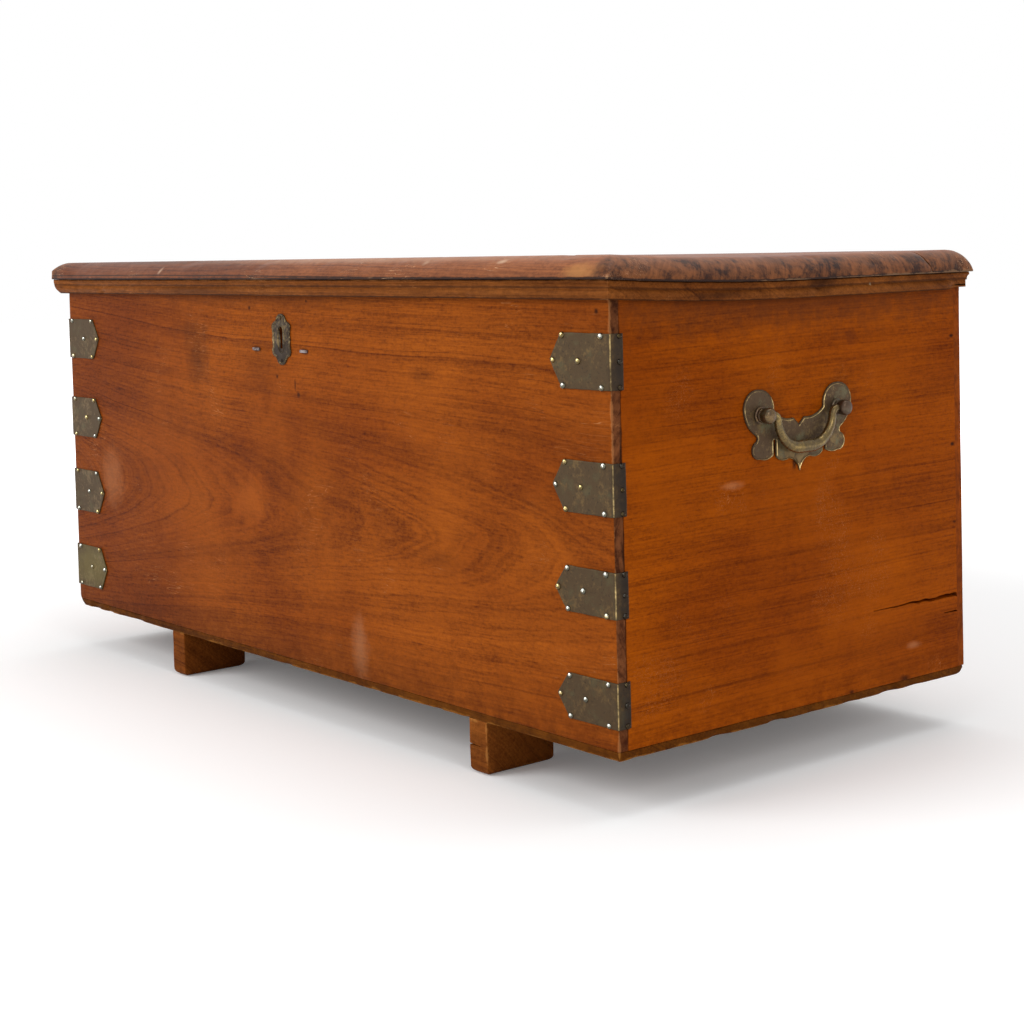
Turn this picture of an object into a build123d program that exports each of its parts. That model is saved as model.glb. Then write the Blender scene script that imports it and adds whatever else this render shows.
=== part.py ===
from build123d import *
import os
from math import asin, atan, cos, degrees, pi, sin, sqrt, tan

# A long boarded chest on four block feet: a rebated case with brass corner straps, a lid board
# that has cupped with age over mitred mouldings, butt hinges, a box lock and bail handles.
# Millimetres. X runs along the chest, Y from the front to the back, Z up from the floor.
# The origin is on the floor under the middle of the chest's overall box.

os.makedirs("parts", exist_ok=True)

# ---------------------------------------------------------------- case
case_length = 1110.0
case_depth = 512.0
board_height = 432.5          # front, back and end boards
board_thickness = 20.0        # front and back boards
corner_lap = 11.0             # end grain of the front and back boards left outside the rebate
end_thickness = 18.0          # end boards
bottom_thickness = 8.5
wear_front_left = 20.0        # knocked-off lower corners
wear_front_right = 5.0
wear_rear_left = 18.0
wear_rear_right = 17.0

# ---------------------------------------------------------------- feet
foot_height = 56.0
foot_width = 30.0             # along X
foot_length = 89.0            # along Y
foot_inset = 1.5              # behind the face of the front or back board
foot_rounding = 8.0           # worn lower edges
left_foot_x = -283.5
right_foot_x = 338.0
foot_nail_size = 3.2          # square wrought shank
foot_nail_length = 46.0
foot_nail_head_size = 6.8
foot_nail_head = 1.2
foot_nail_spacing = 40.0

# ---------------------------------------------------------------- lid
lid_thickness = 24.0
nose_overhang = 16.5          # past the front and the ends of the case
rear_overhang = 3.0
nose_radius = 38.0            # long round-over of the upper edge
nose_lip = 3.0                # upright edge left under the round-over
cup_radius = 4000.0           # the front half of the board has curled up on this radius
moulding_height = 18.5
moulding_gap = 1.0            # between the case and the back of the moulding
moulding_reach = 11.0         # from the case to the moulding's upper edge
moulding_foot = 7.5           # from the case to its lower edge
moulding_fillet = 3.0         # square band along the top
moulding_hollow = 5.5         # height of the hollow
moulding_bead = 7.5           # height of the bead
bead_swell = 2.2              # how far the bead stands out of the hollow

# ---------------------------------------------------------------- hinges
hinge_inset = 155.0           # end of the case to the middle of an outer hinge
hinge_length = 75.0
hinge_knuckles = 3
knuckle_radius = 4.2
hinge_pin_radius = 2.0
running_clearance = 0.05      # radial, every pin in its eye and every screw in its hole
leaf_thickness = 1.8
leaf_reach = 18.5             # from the pin to the far edge of a leaf
leaf_gap = 0.2                # each leaf to the seam between lid and case
hinge_setback = 0.5           # pin centre behind the face of the back board
pocket_clearance = 0.4
knuckle_clearance = 0.3       # between a leaf and the other leaf's knuckles
knuckle_end_gap = 0.2
screw_sides = 8               # flats of every screw's shank and head
hinge_screw_radius = 1.8
hinge_screw_head_radius = 3.3
hinge_screw_head = 1.5
hinge_screw_length = 15.0
hinge_screw_spacing = 50.0

# ---------------------------------------------------------------- corner straps
strap_thickness = 1.2
strap_return = 14.0           # width of the leaf on the end of the case
strap_shoulder = 69.0         # corner to the end of the straight edges
strap_tip = 85.0              # corner to the point
strap_bend_radius = 0.9
right_strap_drops = (68.0, 187.0)     # middles of the two upper straps below the case's top
right_strap_rises = (155.5, 52.0)     # middles of the two lower ones above the case's foot
right_strap_widths = (53.0, 50.0, 44.0, 44.0)
left_strap_drops = (72.0, 179.0)
left_strap_rises = (161.0, 57.0)
left_strap_widths = (53.0, 53.0, 57.0, 56.0)
strap_nail_radius = 3.1
strap_nail_height = 2.1
nail_sides = 8                # hammered facets of a nail's head
strap_nail_edge = 2.5         # nail centre inside the strap's straight edges
strap_nail_corner = 11.5      # corner to the nails beside the bend
strap_nail_middle = 44.0      # corner to the nail in the middle of the leaf
strap_nail_tip = 4.5          # nail centre inside the point
return_nail_inset = 3.5       # nail centre inside the return's free edge

# ---------------------------------------------------------------- escutcheon and lock
key_x = -10.0
key_eye_depth = 50.5          # centre of the keyhole's round eye below the case's top
key_eye_radius = 4.5
key_slot_width = 4.8
key_slot_drop = 20.5          # eye centre to the bottom of the slot
keyhole_ease = 0.4            # the hole in the wood is this much larger all round
escutcheon_depth = 60.5       # centre below the case's top
escutcheon_half_width = 19.8
escutcheon_half_length = 29.4
escutcheon_thickness = 1.8
escutcheon_pin_radius = 1.9
escutcheon_pin_height = 1.0
escutcheon_pin_inset = 4.6
lock_x = -14.0
lock_width = 116.0
lock_height = 84.0
lock_plate_thickness = 2.0
lock_plate_rounding = 4.0
lock_box_width = 84.0
lock_box_depth = 14.0
lock_wall = 1.6
lock_top_drop = 5.0           # below the top edge of the front board
clench_spacing = 102.0
clench_depth = 73.0           # below the case's top
clench_size = 2.2             # side of the square shank
clench_leg = 15.0
clench_leg_width = 3.2
clench_leg_thickness = 1.6
clench_head_radius = 3.8
bolt_thickness = 4.4
bolt_height = 8.0
bolt_length = 46.0
bolt_drop = 16.0              # bolt centre below the top of the lock
bolt_throw = 12.0
bolt_clearance = 0.2
bolt_talon_width = 11.0       # lug under the bolt that the key's bit drives
bolt_talon_drop = 15.0
bolt_notch = 6.0
guide_length = 7.0
guide_wall = 2.0
staple_x = 26.0               # from the middle of the lock
staple_thickness = 3.0        # along X
staple_bar = 2.2
staple_eye_clearance = 0.3
staple_eye_height = 10.0
staple_plate_length = 60.0
staple_plate_width = 16.0
staple_plate_thickness = 2.0
staple_slot_clearance = 1.2
staple_screw_radius = 1.6
staple_screw_head_radius = 3.0
staple_screw_head = 1.4
staple_screw_length = 13.0
staple_screw_spacing = 44.0

# ---------------------------------------------------------------- bail handles
handle_y = -5.0               # middle of the handle from the middle of the end board
handle_height = 309.0         # pivot above the case's foot
post_spacing = 112.0
post_radius = 8.2
post_neck_radius = 5.4
post_neck_length = 2.0
post_flange_radius = 9.6
post_flange_thickness = 1.6
post_reach = 18.6             # from the end board to the tip
post_nose = 2.6               # length of the tapered nose
post_nose_radius = 5.0
tang_size = 5.2               # side of the square tang
tang_clearance = 0.1
nut_size = 15.0
nut_thickness = 4.0
nut_projection = 1.6          # riveted end of the tang past its nut
bail_offset = 10.2            # pivot line from the face of the end board
bail_pin_radius = 2.6
bail_pin_length = 6.0
bail_radius = 4.0
bail_sides = 10               # hammered flats round the rod
bail_swell = 1.2              # the grip is this much fatter in the middle
bail_neck_length = 6.3        # from the side of a post to the arm
bail_lean = 5.0               # the arms close in by this much on the way down
bail_drop = 34.5              # pivots to the grip
bail_shoulder_radius = 6.5
bail_knee_radius = 22.5
bail_side_gap = 0.5           # between a post and the bail's collar
plate_thickness = 2.2
plate_lobe = 23.0             # post to the outer edge of its lobe
plate_rise = 25.5             # pivots to the top of the lobes
plate_drop = 60.0             # pivots to the tip of the drop
plate_cleft = 4.2             # width of the slit between a leaf and the middle of the plate

# ---------------------------------------------------------------- places worked out from the sizes
rear_reach = max(rear_overhang, hinge_setback + knuckle_radius)
case_middle_y = (nose_overhang - rear_reach) / 2
front_y = case_middle_y - case_depth / 2
back_y = case_middle_y + case_depth / 2
half_length = case_length / 2
case_foot_z = foot_height
board_foot_z = case_foot_z + bottom_thickness
case_top_z = board_foot_z + board_height
inner_front_y = front_y + board_thickness
hinge_y = back_y + hinge_setback
above = (Align.CENTER, Align.CENTER, Align.MIN)


def front_plane(x=0.0, z=0.0, distance=0.0):
    """Upright plane on the front of the case, its origin at x, z and this far out of the wood."""
    return Plane(origin=(x, front_y - distance, z), x_dir=(1, 0, 0), z_dir=(0, -1, 0))


def end_plane(side, y=0.0, z=0.0, distance=0.0):
    """Upright plane on the left (-1) or right (+1) end, y measured from the middle of the end."""
    origin = (side * (half_length + distance), case_middle_y + y, z)
    return Plane(origin=origin, x_dir=(0, side, 0), z_dir=(side, 0, 0))


def save(piece, name):
    """Label a finished piece and write it under its own name."""
    piece.part.label = name
    export_step(piece.part, f"parts/{name}.step")


def screw_blank(radius, head_radius, head_height, length):
    """Countersunk screw with its head at the origin, pointing along Z, filed to a few flats."""
    flank = (head_radius - radius) * cos(pi / screw_sides)
    with BuildPart() as blank:
        with BuildSketch():
            RegularPolygon(head_radius, screw_sides)
        extrude(amount=head_height, taper=degrees(atan(flank / head_height)))
        with BuildSketch(Plane.XY.offset(head_height)):
            RegularPolygon(radius, screw_sides)
        extrude(amount=length - head_height)
    return blank.part


def eased_blank(radius, head_radius, head_height, length):
    """The hole for a screw_blank of the same sizes."""
    ease = running_clearance
    return screw_blank(radius + ease, head_radius + ease, head_height, length + ease)


# ---------------------------------------------------------------- worn lower corners of the case
def corner_tool(side_x, side_y, wear):
    """What time has knocked off one lower corner: a cube less the ball that rounds it."""
    corner = Vector(side_x * half_length, case_middle_y + side_y * case_depth / 2, case_foot_z)
    inward = Vector(-side_x * wear, -side_y * wear, wear)
    with BuildPart() as tool:
        with Locations(corner + inward / 2):
            Box(wear, wear, wear)
        with Locations(corner + inward):
            Sphere(wear * sqrt(2), mode=Mode.SUBTRACT)
    return tool.part


worn_corners = [
    corner_tool(-1, -1, wear_front_left),
    corner_tool(1, -1, wear_front_right),
    corner_tool(-1, 1, wear_rear_left),
    corner_tool(1, 1, wear_rear_right),
]

# ---------------------------------------------------------------- openings that several pieces share
clench_places = [
    (lock_x - clench_spacing / 2, case_top_z - clench_depth),
    (lock_x + clench_spacing / 2, case_top_z - clench_depth),
]
pivot_z = case_foot_z + handle_height
post_ys = (handle_y - post_spacing / 2, handle_y + post_spacing / 2)


def cut_keyhole(distance, ease, depth):
    """Cut the keyhole inward from this far out of the front: a round eye over a slot."""
    with BuildSketch(front_plane(key_x, case_top_z - key_eye_depth, distance)) as keyhole:
        Circle(key_eye_radius + ease)
        with Locations((0, -key_slot_drop / 2)):
            Rectangle(key_slot_width + 2 * ease, key_slot_drop + 2 * ease)
    extrude(keyhole.sketch, amount=-depth, mode=Mode.SUBTRACT)


def cut_clench_holes(distance, depth):
    """Punch for the clenched nails, inward from this far out of the front."""
    with BuildSketch(front_plane(distance=distance)) as holes:
        with Locations(*clench_places):
            Rectangle(clench_size + 2 * running_clearance, clench_size + 2 * running_clearance)
    extrude(holes.sketch, amount=-depth, mode=Mode.SUBTRACT)


def cut_tang_holes(side, distance, depth):
    """Mortise for both tangs of a handle, inward from this far out of the end."""
    with BuildSketch(end_plane(side, distance=distance)) as holes:
        with Locations(*[(side * y, pivot_z) for y in post_ys]):
            Rectangle(tang_size + 2 * tang_clearance, tang_size + 2 * tang_clearance)
    extrude(holes.sketch, amount=-depth, mode=Mode.SUBTRACT)


hinge_xs = (hinge_inset - half_length, 0.0, half_length - hinge_inset)
leaf_seat = leaf_thickness + leaf_gap          # depth of a leaf's mortise
leaf_middle_y = hinge_y - leaf_reach / 2
screw_y = hinge_y - (leaf_reach + knuckle_radius) / 2
hinge_screw_hole = eased_blank(
    hinge_screw_radius, hinge_screw_head_radius, hinge_screw_head, hinge_screw_length)


def hinge_screw_sites(x, upward):
    """Where the two screws of a leaf go in, at its free face, pointing into the wood."""
    turn = (0, 0, 0) if upward > 0 else (180, 0, 0)
    return [
        Location((x + offset, screw_y, case_top_z + upward * leaf_gap), turn)
        for offset in (-hinge_screw_spacing / 2, hinge_screw_spacing / 2)
    ]


def cut_hinge_seats(upward):
    """Mortise the board over (1) or under (-1) the seam for leaves, knuckles and screws."""
    for x in hinge_xs:
        with Locations((x, leaf_middle_y, case_top_z + upward * leaf_seat / 2)):
            Box(hinge_length, leaf_reach, leaf_seat, mode=Mode.SUBTRACT)
        with Locations(Location((x, hinge_y, case_top_z), (0, 90, 0))):
            Cylinder(knuckle_radius + pocket_clearance, hinge_length + 2 * pocket_clearance,
                     mode=Mode.SUBTRACT)
        with Locations(*hinge_screw_sites(x, upward)):
            add(hinge_screw_hole, mode=Mode.SUBTRACT)


# ---------------------------------------------------------------- case boards
def long_board_outline(side):
    """Plan of the front (-1) or back (+1) board, rebated behind each end for the end board."""
    face = case_middle_y + side * case_depth / 2
    with Locations((0, face - side * board_thickness / 2)):
        Rectangle(case_length, board_thickness)
    rebate_depth = board_thickness - corner_lap
    rebate_y = face - side * (corner_lap + rebate_depth / 2)
    rebate_x = half_length - end_thickness / 2
    with Locations((-rebate_x, rebate_y), (rebate_x, rebate_y)):
        Rectangle(end_thickness, rebate_depth, mode=Mode.SUBTRACT)


with BuildPart() as front_board:
    with BuildSketch(Plane.XY.offset(board_foot_z)):
        long_board_outline(-1)
    extrude(amount=board_height)
    cut_keyhole(0, keyhole_ease, board_thickness)
    cut_clench_holes(0, board_thickness)
    add(worn_corners, mode=Mode.SUBTRACT)
save(front_board, "front_board")

with BuildPart() as back_board:
    with BuildSketch(Plane.XY.offset(board_foot_z)):
        long_board_outline(1)
    extrude(amount=board_height)
    cut_hinge_seats(-1)
    add(worn_corners, mode=Mode.SUBTRACT)
save(back_board, "back_board")


def end_board(side, name):
    """One end of the case, let into the rebates and bored for the handle's posts."""
    board_middle = (side * (half_length - end_thickness / 2), case_middle_y,
                    board_foot_z + board_height / 2)
    with BuildPart() as board:
        with Locations(board_middle):
            Box(end_thickness, case_depth - 2 * corner_lap, board_height)
        cut_tang_holes(side, 0, end_thickness)
        add(worn_corners, mode=Mode.SUBTRACT)
    save(board, name)


end_board(-1, "end_board_left")
end_board(1, "end_board_right")

# ---------------------------------------------------------------- feet and the board they carry
foot_places = {
    "foot_front_left": (left_foot_x, -1),
    "foot_front_right": (right_foot_x, -1),
    "foot_rear_left": (left_foot_x, 1),
    "foot_rear_right": (right_foot_x, 1),
}
foot_reach = case_depth / 2 - foot_inset - foot_length / 2      # case's middle to a foot's middle
foot_nail_sites = [
    (x, case_middle_y + side * foot_reach + offset, board_foot_z)
    for x, side in foot_places.values()
    for offset in (-foot_nail_spacing / 2, foot_nail_spacing / 2)
]


def cut_foot_nail_holes():
    """Holes for the nails driven down through the bottom board into the feet."""
    hole_size = foot_nail_size + 2 * running_clearance
    with Locations(*[Location(site, (180, 0, 0)) for site in foot_nail_sites]):
        Box(hole_size, hole_size, foot_nail_length + running_clearance, align=above,
            mode=Mode.SUBTRACT)


with BuildPart() as bottom_board:
    with Locations((0, case_middle_y, case_foot_z)):
        Box(case_length, case_depth, bottom_thickness, align=above)
    add(worn_corners, mode=Mode.SUBTRACT)
    cut_foot_nail_holes()
save(bottom_board, "bottom_board")

for name, (x, side) in foot_places.items():
    with BuildPart() as foot:
        with Locations((x, case_middle_y + side * foot_reach, 0)):
            Box(foot_width, foot_length, foot_height, align=above)
        fillet(foot.faces().sort_by(Axis.Z)[0].edges(), foot_rounding)
        cut_foot_nail_holes()
    save(foot, name)

with BuildPart() as foot_nails:
    with Locations(*[Location(site, (180, 0, 0)) for site in foot_nail_sites]):
        Box(foot_nail_size, foot_nail_size, foot_nail_length, align=above)
    with Locations(*foot_nail_sites):
        Box(foot_nail_head_size, foot_nail_head_size, foot_nail_head, align=above)
save(foot_nails, "foot_nails")

# ---------------------------------------------------------------- corner straps and their nails
with BuildPart() as nail_head:
    with BuildSketch():
        RegularPolygon(strap_nail_radius, nail_sides)
    extrude(amount=strap_nail_height, taper=35)

strap_nail_sites = []


def corner_strap(name, side, middle, width):
    """Brass strap round a front corner: a pointed leaf in front, a plain return on the end."""
    corner = side * half_length
    wrap = strap_return + strap_thickness
    with BuildPart() as strap:
        with BuildSketch(front_plane(corner, middle)):
            with BuildLine():
                Polyline(
                    (0, -width / 2),
                    (-side * strap_shoulder, -width / 2),
                    (-side * strap_tip, 0),
                    (-side * strap_shoulder, width / 2),
                    (0, width / 2),
                    (0, -width / 2),
                )
            make_face()
        extrude(amount=strap_thickness)
        with BuildSketch(end_plane(side, -case_depth / 2 - strap_thickness + wrap / 2, middle)):
            Rectangle(wrap, width)
        extrude(amount=strap_thickness)
        bend = strap.edges().filter_by(Axis.Z).group_by(Axis.Y)[0]
        fillet(bend, strap_bend_radius)
    save(strap, name)

    edge = width / 2 - strap_nail_edge
    front_nails = [
        (strap_nail_corner, edge),
        (strap_nail_corner, -edge),
        (strap_nail_middle, 0),
        (strap_shoulder - strap_nail_edge, edge),
        (strap_shoulder - strap_nail_edge, -edge),
        (strap_tip - strap_nail_tip, 0),
    ]
    for inward, rise in front_nails:
        seat = front_plane(corner - side * inward, middle + rise, strap_thickness)
        strap_nail_sites.append(seat.location)
    return_y = -case_depth / 2 + strap_return - return_nail_inset
    for rise in (edge, 0, -edge):
        seat = end_plane(side, return_y, middle + rise, strap_thickness)
        strap_nail_sites.append(seat.location)


def corner_straps(side, end_name, drops, rises, widths):
    """The four straps of one corner, numbered from the top."""
    middles = [case_top_z - drop for drop in drops] + [case_foot_z + rise for rise in rises]
    for number, (middle, width) in enumerate(zip(middles, widths), start=1):
        corner_strap(f"corner_strap_{end_name}_{number}", side, middle, width)


corner_straps(1, "right", right_strap_drops, right_strap_rises, right_strap_widths)
corner_straps(-1, "left", left_strap_drops, left_strap_rises, left_strap_widths)

with BuildPart() as strap_nails:
    with Locations(*strap_nail_sites):
        add(nail_head.part)
save(strap_nails, "strap_nails")

# ---------------------------------------------------------------- escutcheon
escutcheon_z = case_top_z - escutcheon_depth
with BuildPart() as escutcheon:
    with BuildSketch(front_plane(key_x, escutcheon_z)):
        with BuildLine():
            wide = escutcheon_half_width
            tall = escutcheon_half_length
            crown = ThreePointArc((0, tall), (0.27 * wide, 0.95 * tall), (0.4 * wide, 0.82 * tall))
            neck = ThreePointArc(crown @ 1, (0.5 * wide, 0.7 * tall), (0.74 * wide, 0.66 * tall))
            shoulder = ThreePointArc(neck @ 1, (0.93 * wide, 0.6 * tall), (wide, 0.46 * tall))
            ThreePointArc(shoulder @ 1, (0.92 * wide, 0.23 * tall), (0.97 * wide, 0))
            mirror(about=Plane.XZ)
            mirror(about=Plane.YZ)
        make_face()
    extrude(amount=escutcheon_thickness)
    cut_keyhole(escutcheon_thickness, 0, escutcheon_thickness)
save(escutcheon, "escutcheon")

with BuildPart() as escutcheon_pins:
    pin_offset = escutcheon_half_length - escutcheon_pin_inset
    with BuildSketch(front_plane(key_x, escutcheon_z, escutcheon_thickness)):
        with Locations((0, pin_offset), (0, -pin_offset)):
            RegularPolygon(escutcheon_pin_radius, nail_sides)
    extrude(amount=escutcheon_pin_height, taper=25)
save(escutcheon_pins, "escutcheon_pins")

# ---------------------------------------------------------------- box lock
lock_top_z = case_top_z - lock_top_drop
lock_middle_z = lock_top_z - lock_height / 2
plate_back_y = inner_front_y + lock_plate_thickness
cavity_depth = lock_box_depth - lock_wall
cavity_middle_y = plate_back_y + cavity_depth / 2
bolt_z = lock_top_z - bolt_drop
staple_middle_x = lock_x + staple_x
bolt_tip_x = staple_middle_x - staple_thickness / 2 - staple_slot_clearance
keeper_x = staple_middle_x + staple_thickness / 2 + staple_slot_clearance + guide_length / 2
guide_places = [
    bolt_tip_x - guide_length / 2,
    bolt_tip_x - bolt_length + guide_length / 2,
    keeper_x,
]
staple_slot = staple_thickness + 2 * staple_slot_clearance

with BuildPart() as lock_plate:
    with Locations((lock_x, inner_front_y + lock_plate_thickness / 2, lock_middle_z)):
        Box(lock_width, lock_plate_thickness, lock_height)
    fillet(lock_plate.edges().filter_by(Axis.Y), lock_plate_rounding)
    cut_keyhole(-board_thickness, keyhole_ease, lock_plate_thickness)
    cut_clench_holes(-board_thickness, lock_plate_thickness)
save(lock_plate, "lock_plate")

with BuildPart() as lock_case:
    with Locations((lock_x, plate_back_y + lock_box_depth / 2, lock_middle_z)):
        Box(lock_box_width, lock_box_depth, lock_height)
    with Locations((lock_x, cavity_middle_y, lock_middle_z)):
        Box(lock_box_width - 2 * lock_wall, cavity_depth, lock_height - 2 * lock_wall,
            mode=Mode.SUBTRACT)
    with Locations(*[(x, cavity_middle_y, bolt_z) for x in guide_places]):
        Box(guide_length, cavity_depth, bolt_height + 2 * bolt_clearance + 2 * guide_wall)
        Box(guide_length, bolt_thickness + 2 * bolt_clearance, bolt_height + 2 * bolt_clearance,
            mode=Mode.SUBTRACT)
    with Locations((staple_middle_x, cavity_middle_y, lock_top_z - lock_wall / 2)):
        Box(staple_slot, cavity_depth, lock_wall, mode=Mode.SUBTRACT)
save(lock_case, "lock_case")

with BuildPart() as lock_bolt:
    with Locations((bolt_tip_x - bolt_length / 2, cavity_middle_y, bolt_z)):
        Box(bolt_length, bolt_thickness, bolt_height)
    talon_foot_z = bolt_z - bolt_height / 2 - bolt_talon_drop
    with Locations((key_x - bolt_throw / 2, cavity_middle_y, talon_foot_z)):
        Box(bolt_talon_width, bolt_thickness, bolt_talon_drop, align=above)
        Box(bolt_notch, bolt_thickness, bolt_notch, align=above, mode=Mode.SUBTRACT)
save(lock_bolt, "lock_bolt")

with BuildPart() as clench_nails:
    with BuildSketch(front_plane()):
        with Locations(*clench_places):
            Rectangle(clench_size, clench_size)
    extrude(amount=-board_thickness - lock_plate_thickness)
    with BuildSketch(front_plane()):
        with Locations(*clench_places):
            Rectangle(clench_leg, clench_leg_width)
    extrude(amount=clench_leg_thickness)
    with BuildSketch(front_plane(distance=-board_thickness - lock_plate_thickness)):
        with Locations(*clench_places):
            RegularPolygon(clench_head_radius, nail_sides)
    extrude(amount=-clench_leg_thickness)
save(clench_nails, "lock_clench_nails")


# ---------------------------------------------------------------- lid board
def underside_z(y):
    """Height of the cupped underside of the lid at y."""
    ahead = max(0.0, case_middle_y - y)
    return case_top_z + cup_radius - sqrt(cup_radius ** 2 - ahead ** 2)


nose_y = front_y - nose_overhang
rear_y = back_y + rear_overhang


def lid_line(x):
    """Path of the lid's underside at x, from back to front: straight, then curling up."""
    halfway_y = (case_middle_y + nose_y) / 2
    with BuildLine(Plane.YZ.offset(x)) as path:
        flat = Line((rear_y, case_top_z), (case_middle_y, case_top_z))
        ThreePointArc(flat @ 1, (halfway_y, underside_z(halfway_y)), (nose_y, underside_z(nose_y)))
    return path.wire()


def seat_plane(y, x_dir, distance=0.0):
    """Plane square to the underside at y, facing up, this far below it."""
    slope = asin((case_middle_y - y) / cup_radius)
    up = Vector(0, sin(slope), cos(slope))
    origin = Vector(0, y, underside_z(y)) - up * distance
    return Plane(origin=origin, x_dir=x_dir, z_dir=up)


nose_drop = lid_thickness - nose_lip
nose_run = sqrt(nose_radius ** 2 - (nose_radius - nose_drop) ** 2)
half_turn = asin(nose_run / nose_radius) / 2
nose_middle_run = nose_run - nose_radius * sin(half_turn)
nose_middle_drop = nose_radius * (1 - cos(half_turn))
lid_half = half_length + nose_overhang

with BuildPart() as lid_board:
    with BuildSketch(Plane(origin=(0, rear_y, case_top_z), x_dir=(1, 0, 0), z_dir=(0, -1, 0))):
        with BuildLine():
            Polyline((0, 0), (lid_half, 0), (lid_half, nose_lip))
            ThreePointArc(
                (lid_half, nose_lip),
                (lid_half - nose_middle_run, lid_thickness - nose_middle_drop),
                (lid_half - nose_run, lid_thickness),
            )
            Line((lid_half - nose_run, lid_thickness), (0, lid_thickness))
            mirror(about=Plane.YZ)
        make_face()
    sweep(path=lid_line(0))
    # The front nose is planed square to the curled edge, its crest tangent to the upper face.
    nose_slope = asin((case_middle_y - nose_y) / cup_radius)
    upper_radius = cup_radius - lid_thickness
    crest = cup_radius - sqrt(upper_radius ** 2 - nose_run ** 2)
    nose_frame = Plane(
        origin=(-lid_half, nose_y, underside_z(nose_y)),
        x_dir=(0, cos(nose_slope), -sin(nose_slope)),
        z_dir=(1, 0, 0),
    )
    with BuildSketch(nose_frame):
        with BuildLine():
            ThreePointArc((0, nose_lip), (nose_middle_run, crest - nose_middle_drop),
                          (nose_run, crest))
            Polyline((nose_run, crest), (nose_run, 2 * crest), (-crest, 2 * crest),
                     (-crest, nose_lip), (0, nose_lip))
        make_face()
    extrude(amount=2 * lid_half, mode=Mode.SUBTRACT)
    cut_hinge_seats(1)
    staple_seat = seat_plane(cavity_middle_y, (1, 0, 0), staple_plate_thickness)
    staple_screw_sites = [
        staple_seat.location * Location((staple_middle_x + offset, 0, 0))
        for offset in (-staple_screw_spacing / 2, staple_screw_spacing / 2)
    ]
    staple_screw_hole = eased_blank(
        staple_screw_radius, staple_screw_head_radius, staple_screw_head, staple_screw_length)
    with Locations(*staple_screw_sites):
        add(staple_screw_hole, mode=Mode.SUBTRACT)
save(lid_board, "lid_board")


# ---------------------------------------------------------------- lid mouldings
def moulding_face():
    """Section's outer side from the foot of the bead up to the lid: bead, hollow, square band."""
    hollow_foot = -moulding_fillet - moulding_hollow
    bead_foot = hollow_foot - moulding_bead
    Line((moulding_foot, -moulding_height), (moulding_foot, bead_foot))
    ThreePointArc((moulding_foot, bead_foot),
                  (moulding_foot + bead_swell, hollow_foot - moulding_bead / 2),
                  (moulding_foot, hollow_foot))
    hollow_sag = (moulding_reach - moulding_foot) / 4
    ThreePointArc((moulding_foot, hollow_foot),
                  (moulding_foot + hollow_sag, hollow_foot + 0.6 * moulding_hollow),
                  (moulding_reach, -moulding_fillet))


def mitre(side, front_is_cut):
    """Cut away what lies past the diagonal of a corner, off the front or off the end strip."""
    reach = 2 * nose_overhang
    corner = (side * half_length, front_y)
    diagonal = (corner[0] + side * reach, corner[1] - reach)
    square = (diagonal[0], corner[1]) if front_is_cut else (corner[0], diagonal[1])
    with BuildSketch(Plane.XY.offset(case_top_z - 2 * moulding_height)) as waste:
        with BuildLine():
            Polyline(corner, diagonal, square, corner)
        make_face()
    extrude(waste.sketch, amount=4 * moulding_height, mode=Mode.SUBTRACT)


def end_moulding(side, name):
    """Strip under one end of the lid, following its cupped underside."""
    section_plane = Plane(origin=(side * half_length, rear_y, case_top_z),
                          x_dir=(side, 0, 0), z_dir=(0, -side, 0))
    with BuildPart() as strip:
        with BuildSketch(section_plane):
            with BuildLine():
                moulding_face()
                Polyline((moulding_reach, -moulding_fillet), (moulding_reach, 0),
                         (moulding_gap, 0), (moulding_gap, -moulding_height),
                         (moulding_foot, -moulding_height))
            make_face()
        sweep(path=lid_line(side * half_length))
        mitre(side, front_is_cut=False)
    save(strip, name)


end_moulding(-1, "lid_moulding_left")
end_moulding(1, "lid_moulding_right")

with BuildPart() as lid_moulding_front:
    # The strip's section stands upright: its own x runs out of the front, from the case's face.
    run = 2 * (half_length + moulding_reach)
    strip_z = underside_z(front_y - moulding_gap)
    outer_rise = underside_z(front_y - moulding_reach) - strip_z
    middle_y = front_y - (moulding_gap + moulding_reach) / 2
    middle_rise = underside_z(middle_y) - strip_z
    strip_frame = Plane(origin=(-run / 2, front_y, strip_z), x_dir=(0, -1, 0), z_dir=(-1, 0, 0))
    with BuildSketch(strip_frame):
        with BuildLine():
            moulding_face()
            Line((moulding_reach, -moulding_fillet), (moulding_reach, outer_rise))
            ThreePointArc((moulding_reach, outer_rise), (front_y - middle_y, middle_rise),
                          (moulding_gap, 0))
            Polyline((moulding_gap, 0), (moulding_gap, -moulding_height),
                     (moulding_foot, -moulding_height))
        make_face()
    extrude(amount=-run)
    mitre(-1, front_is_cut=True)
    mitre(1, front_is_cut=True)
save(lid_moulding_front, "lid_moulding_front")

# ---------------------------------------------------------------- lid staple
with BuildPart() as lid_staple:
    with BuildSketch(staple_seat):
        with Locations((staple_middle_x, 0)):
            RectangleRounded(staple_plate_length, staple_plate_width, staple_plate_width / 4)
    extrude(amount=staple_plate_thickness)
    eye_width = bolt_thickness + 2 * staple_eye_clearance
    shank_width = eye_width + 2 * staple_bar
    shank_foot_z = bolt_z - staple_eye_height / 2 - staple_bar
    shank_top_z = underside_z(cavity_middle_y) - staple_plate_thickness / 2
    shank_middle = (staple_middle_x, cavity_middle_y, (shank_foot_z + shank_top_z) / 2)
    with Locations(shank_middle):
        Box(staple_thickness, shank_width, shank_top_z - shank_foot_z)
    with Locations((staple_middle_x, cavity_middle_y, bolt_z)):
        Box(staple_thickness, eye_width, staple_eye_height, mode=Mode.SUBTRACT)
    with Locations(*staple_screw_sites):
        add(staple_screw_hole, mode=Mode.SUBTRACT)
save(lid_staple, "lid_staple")

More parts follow.
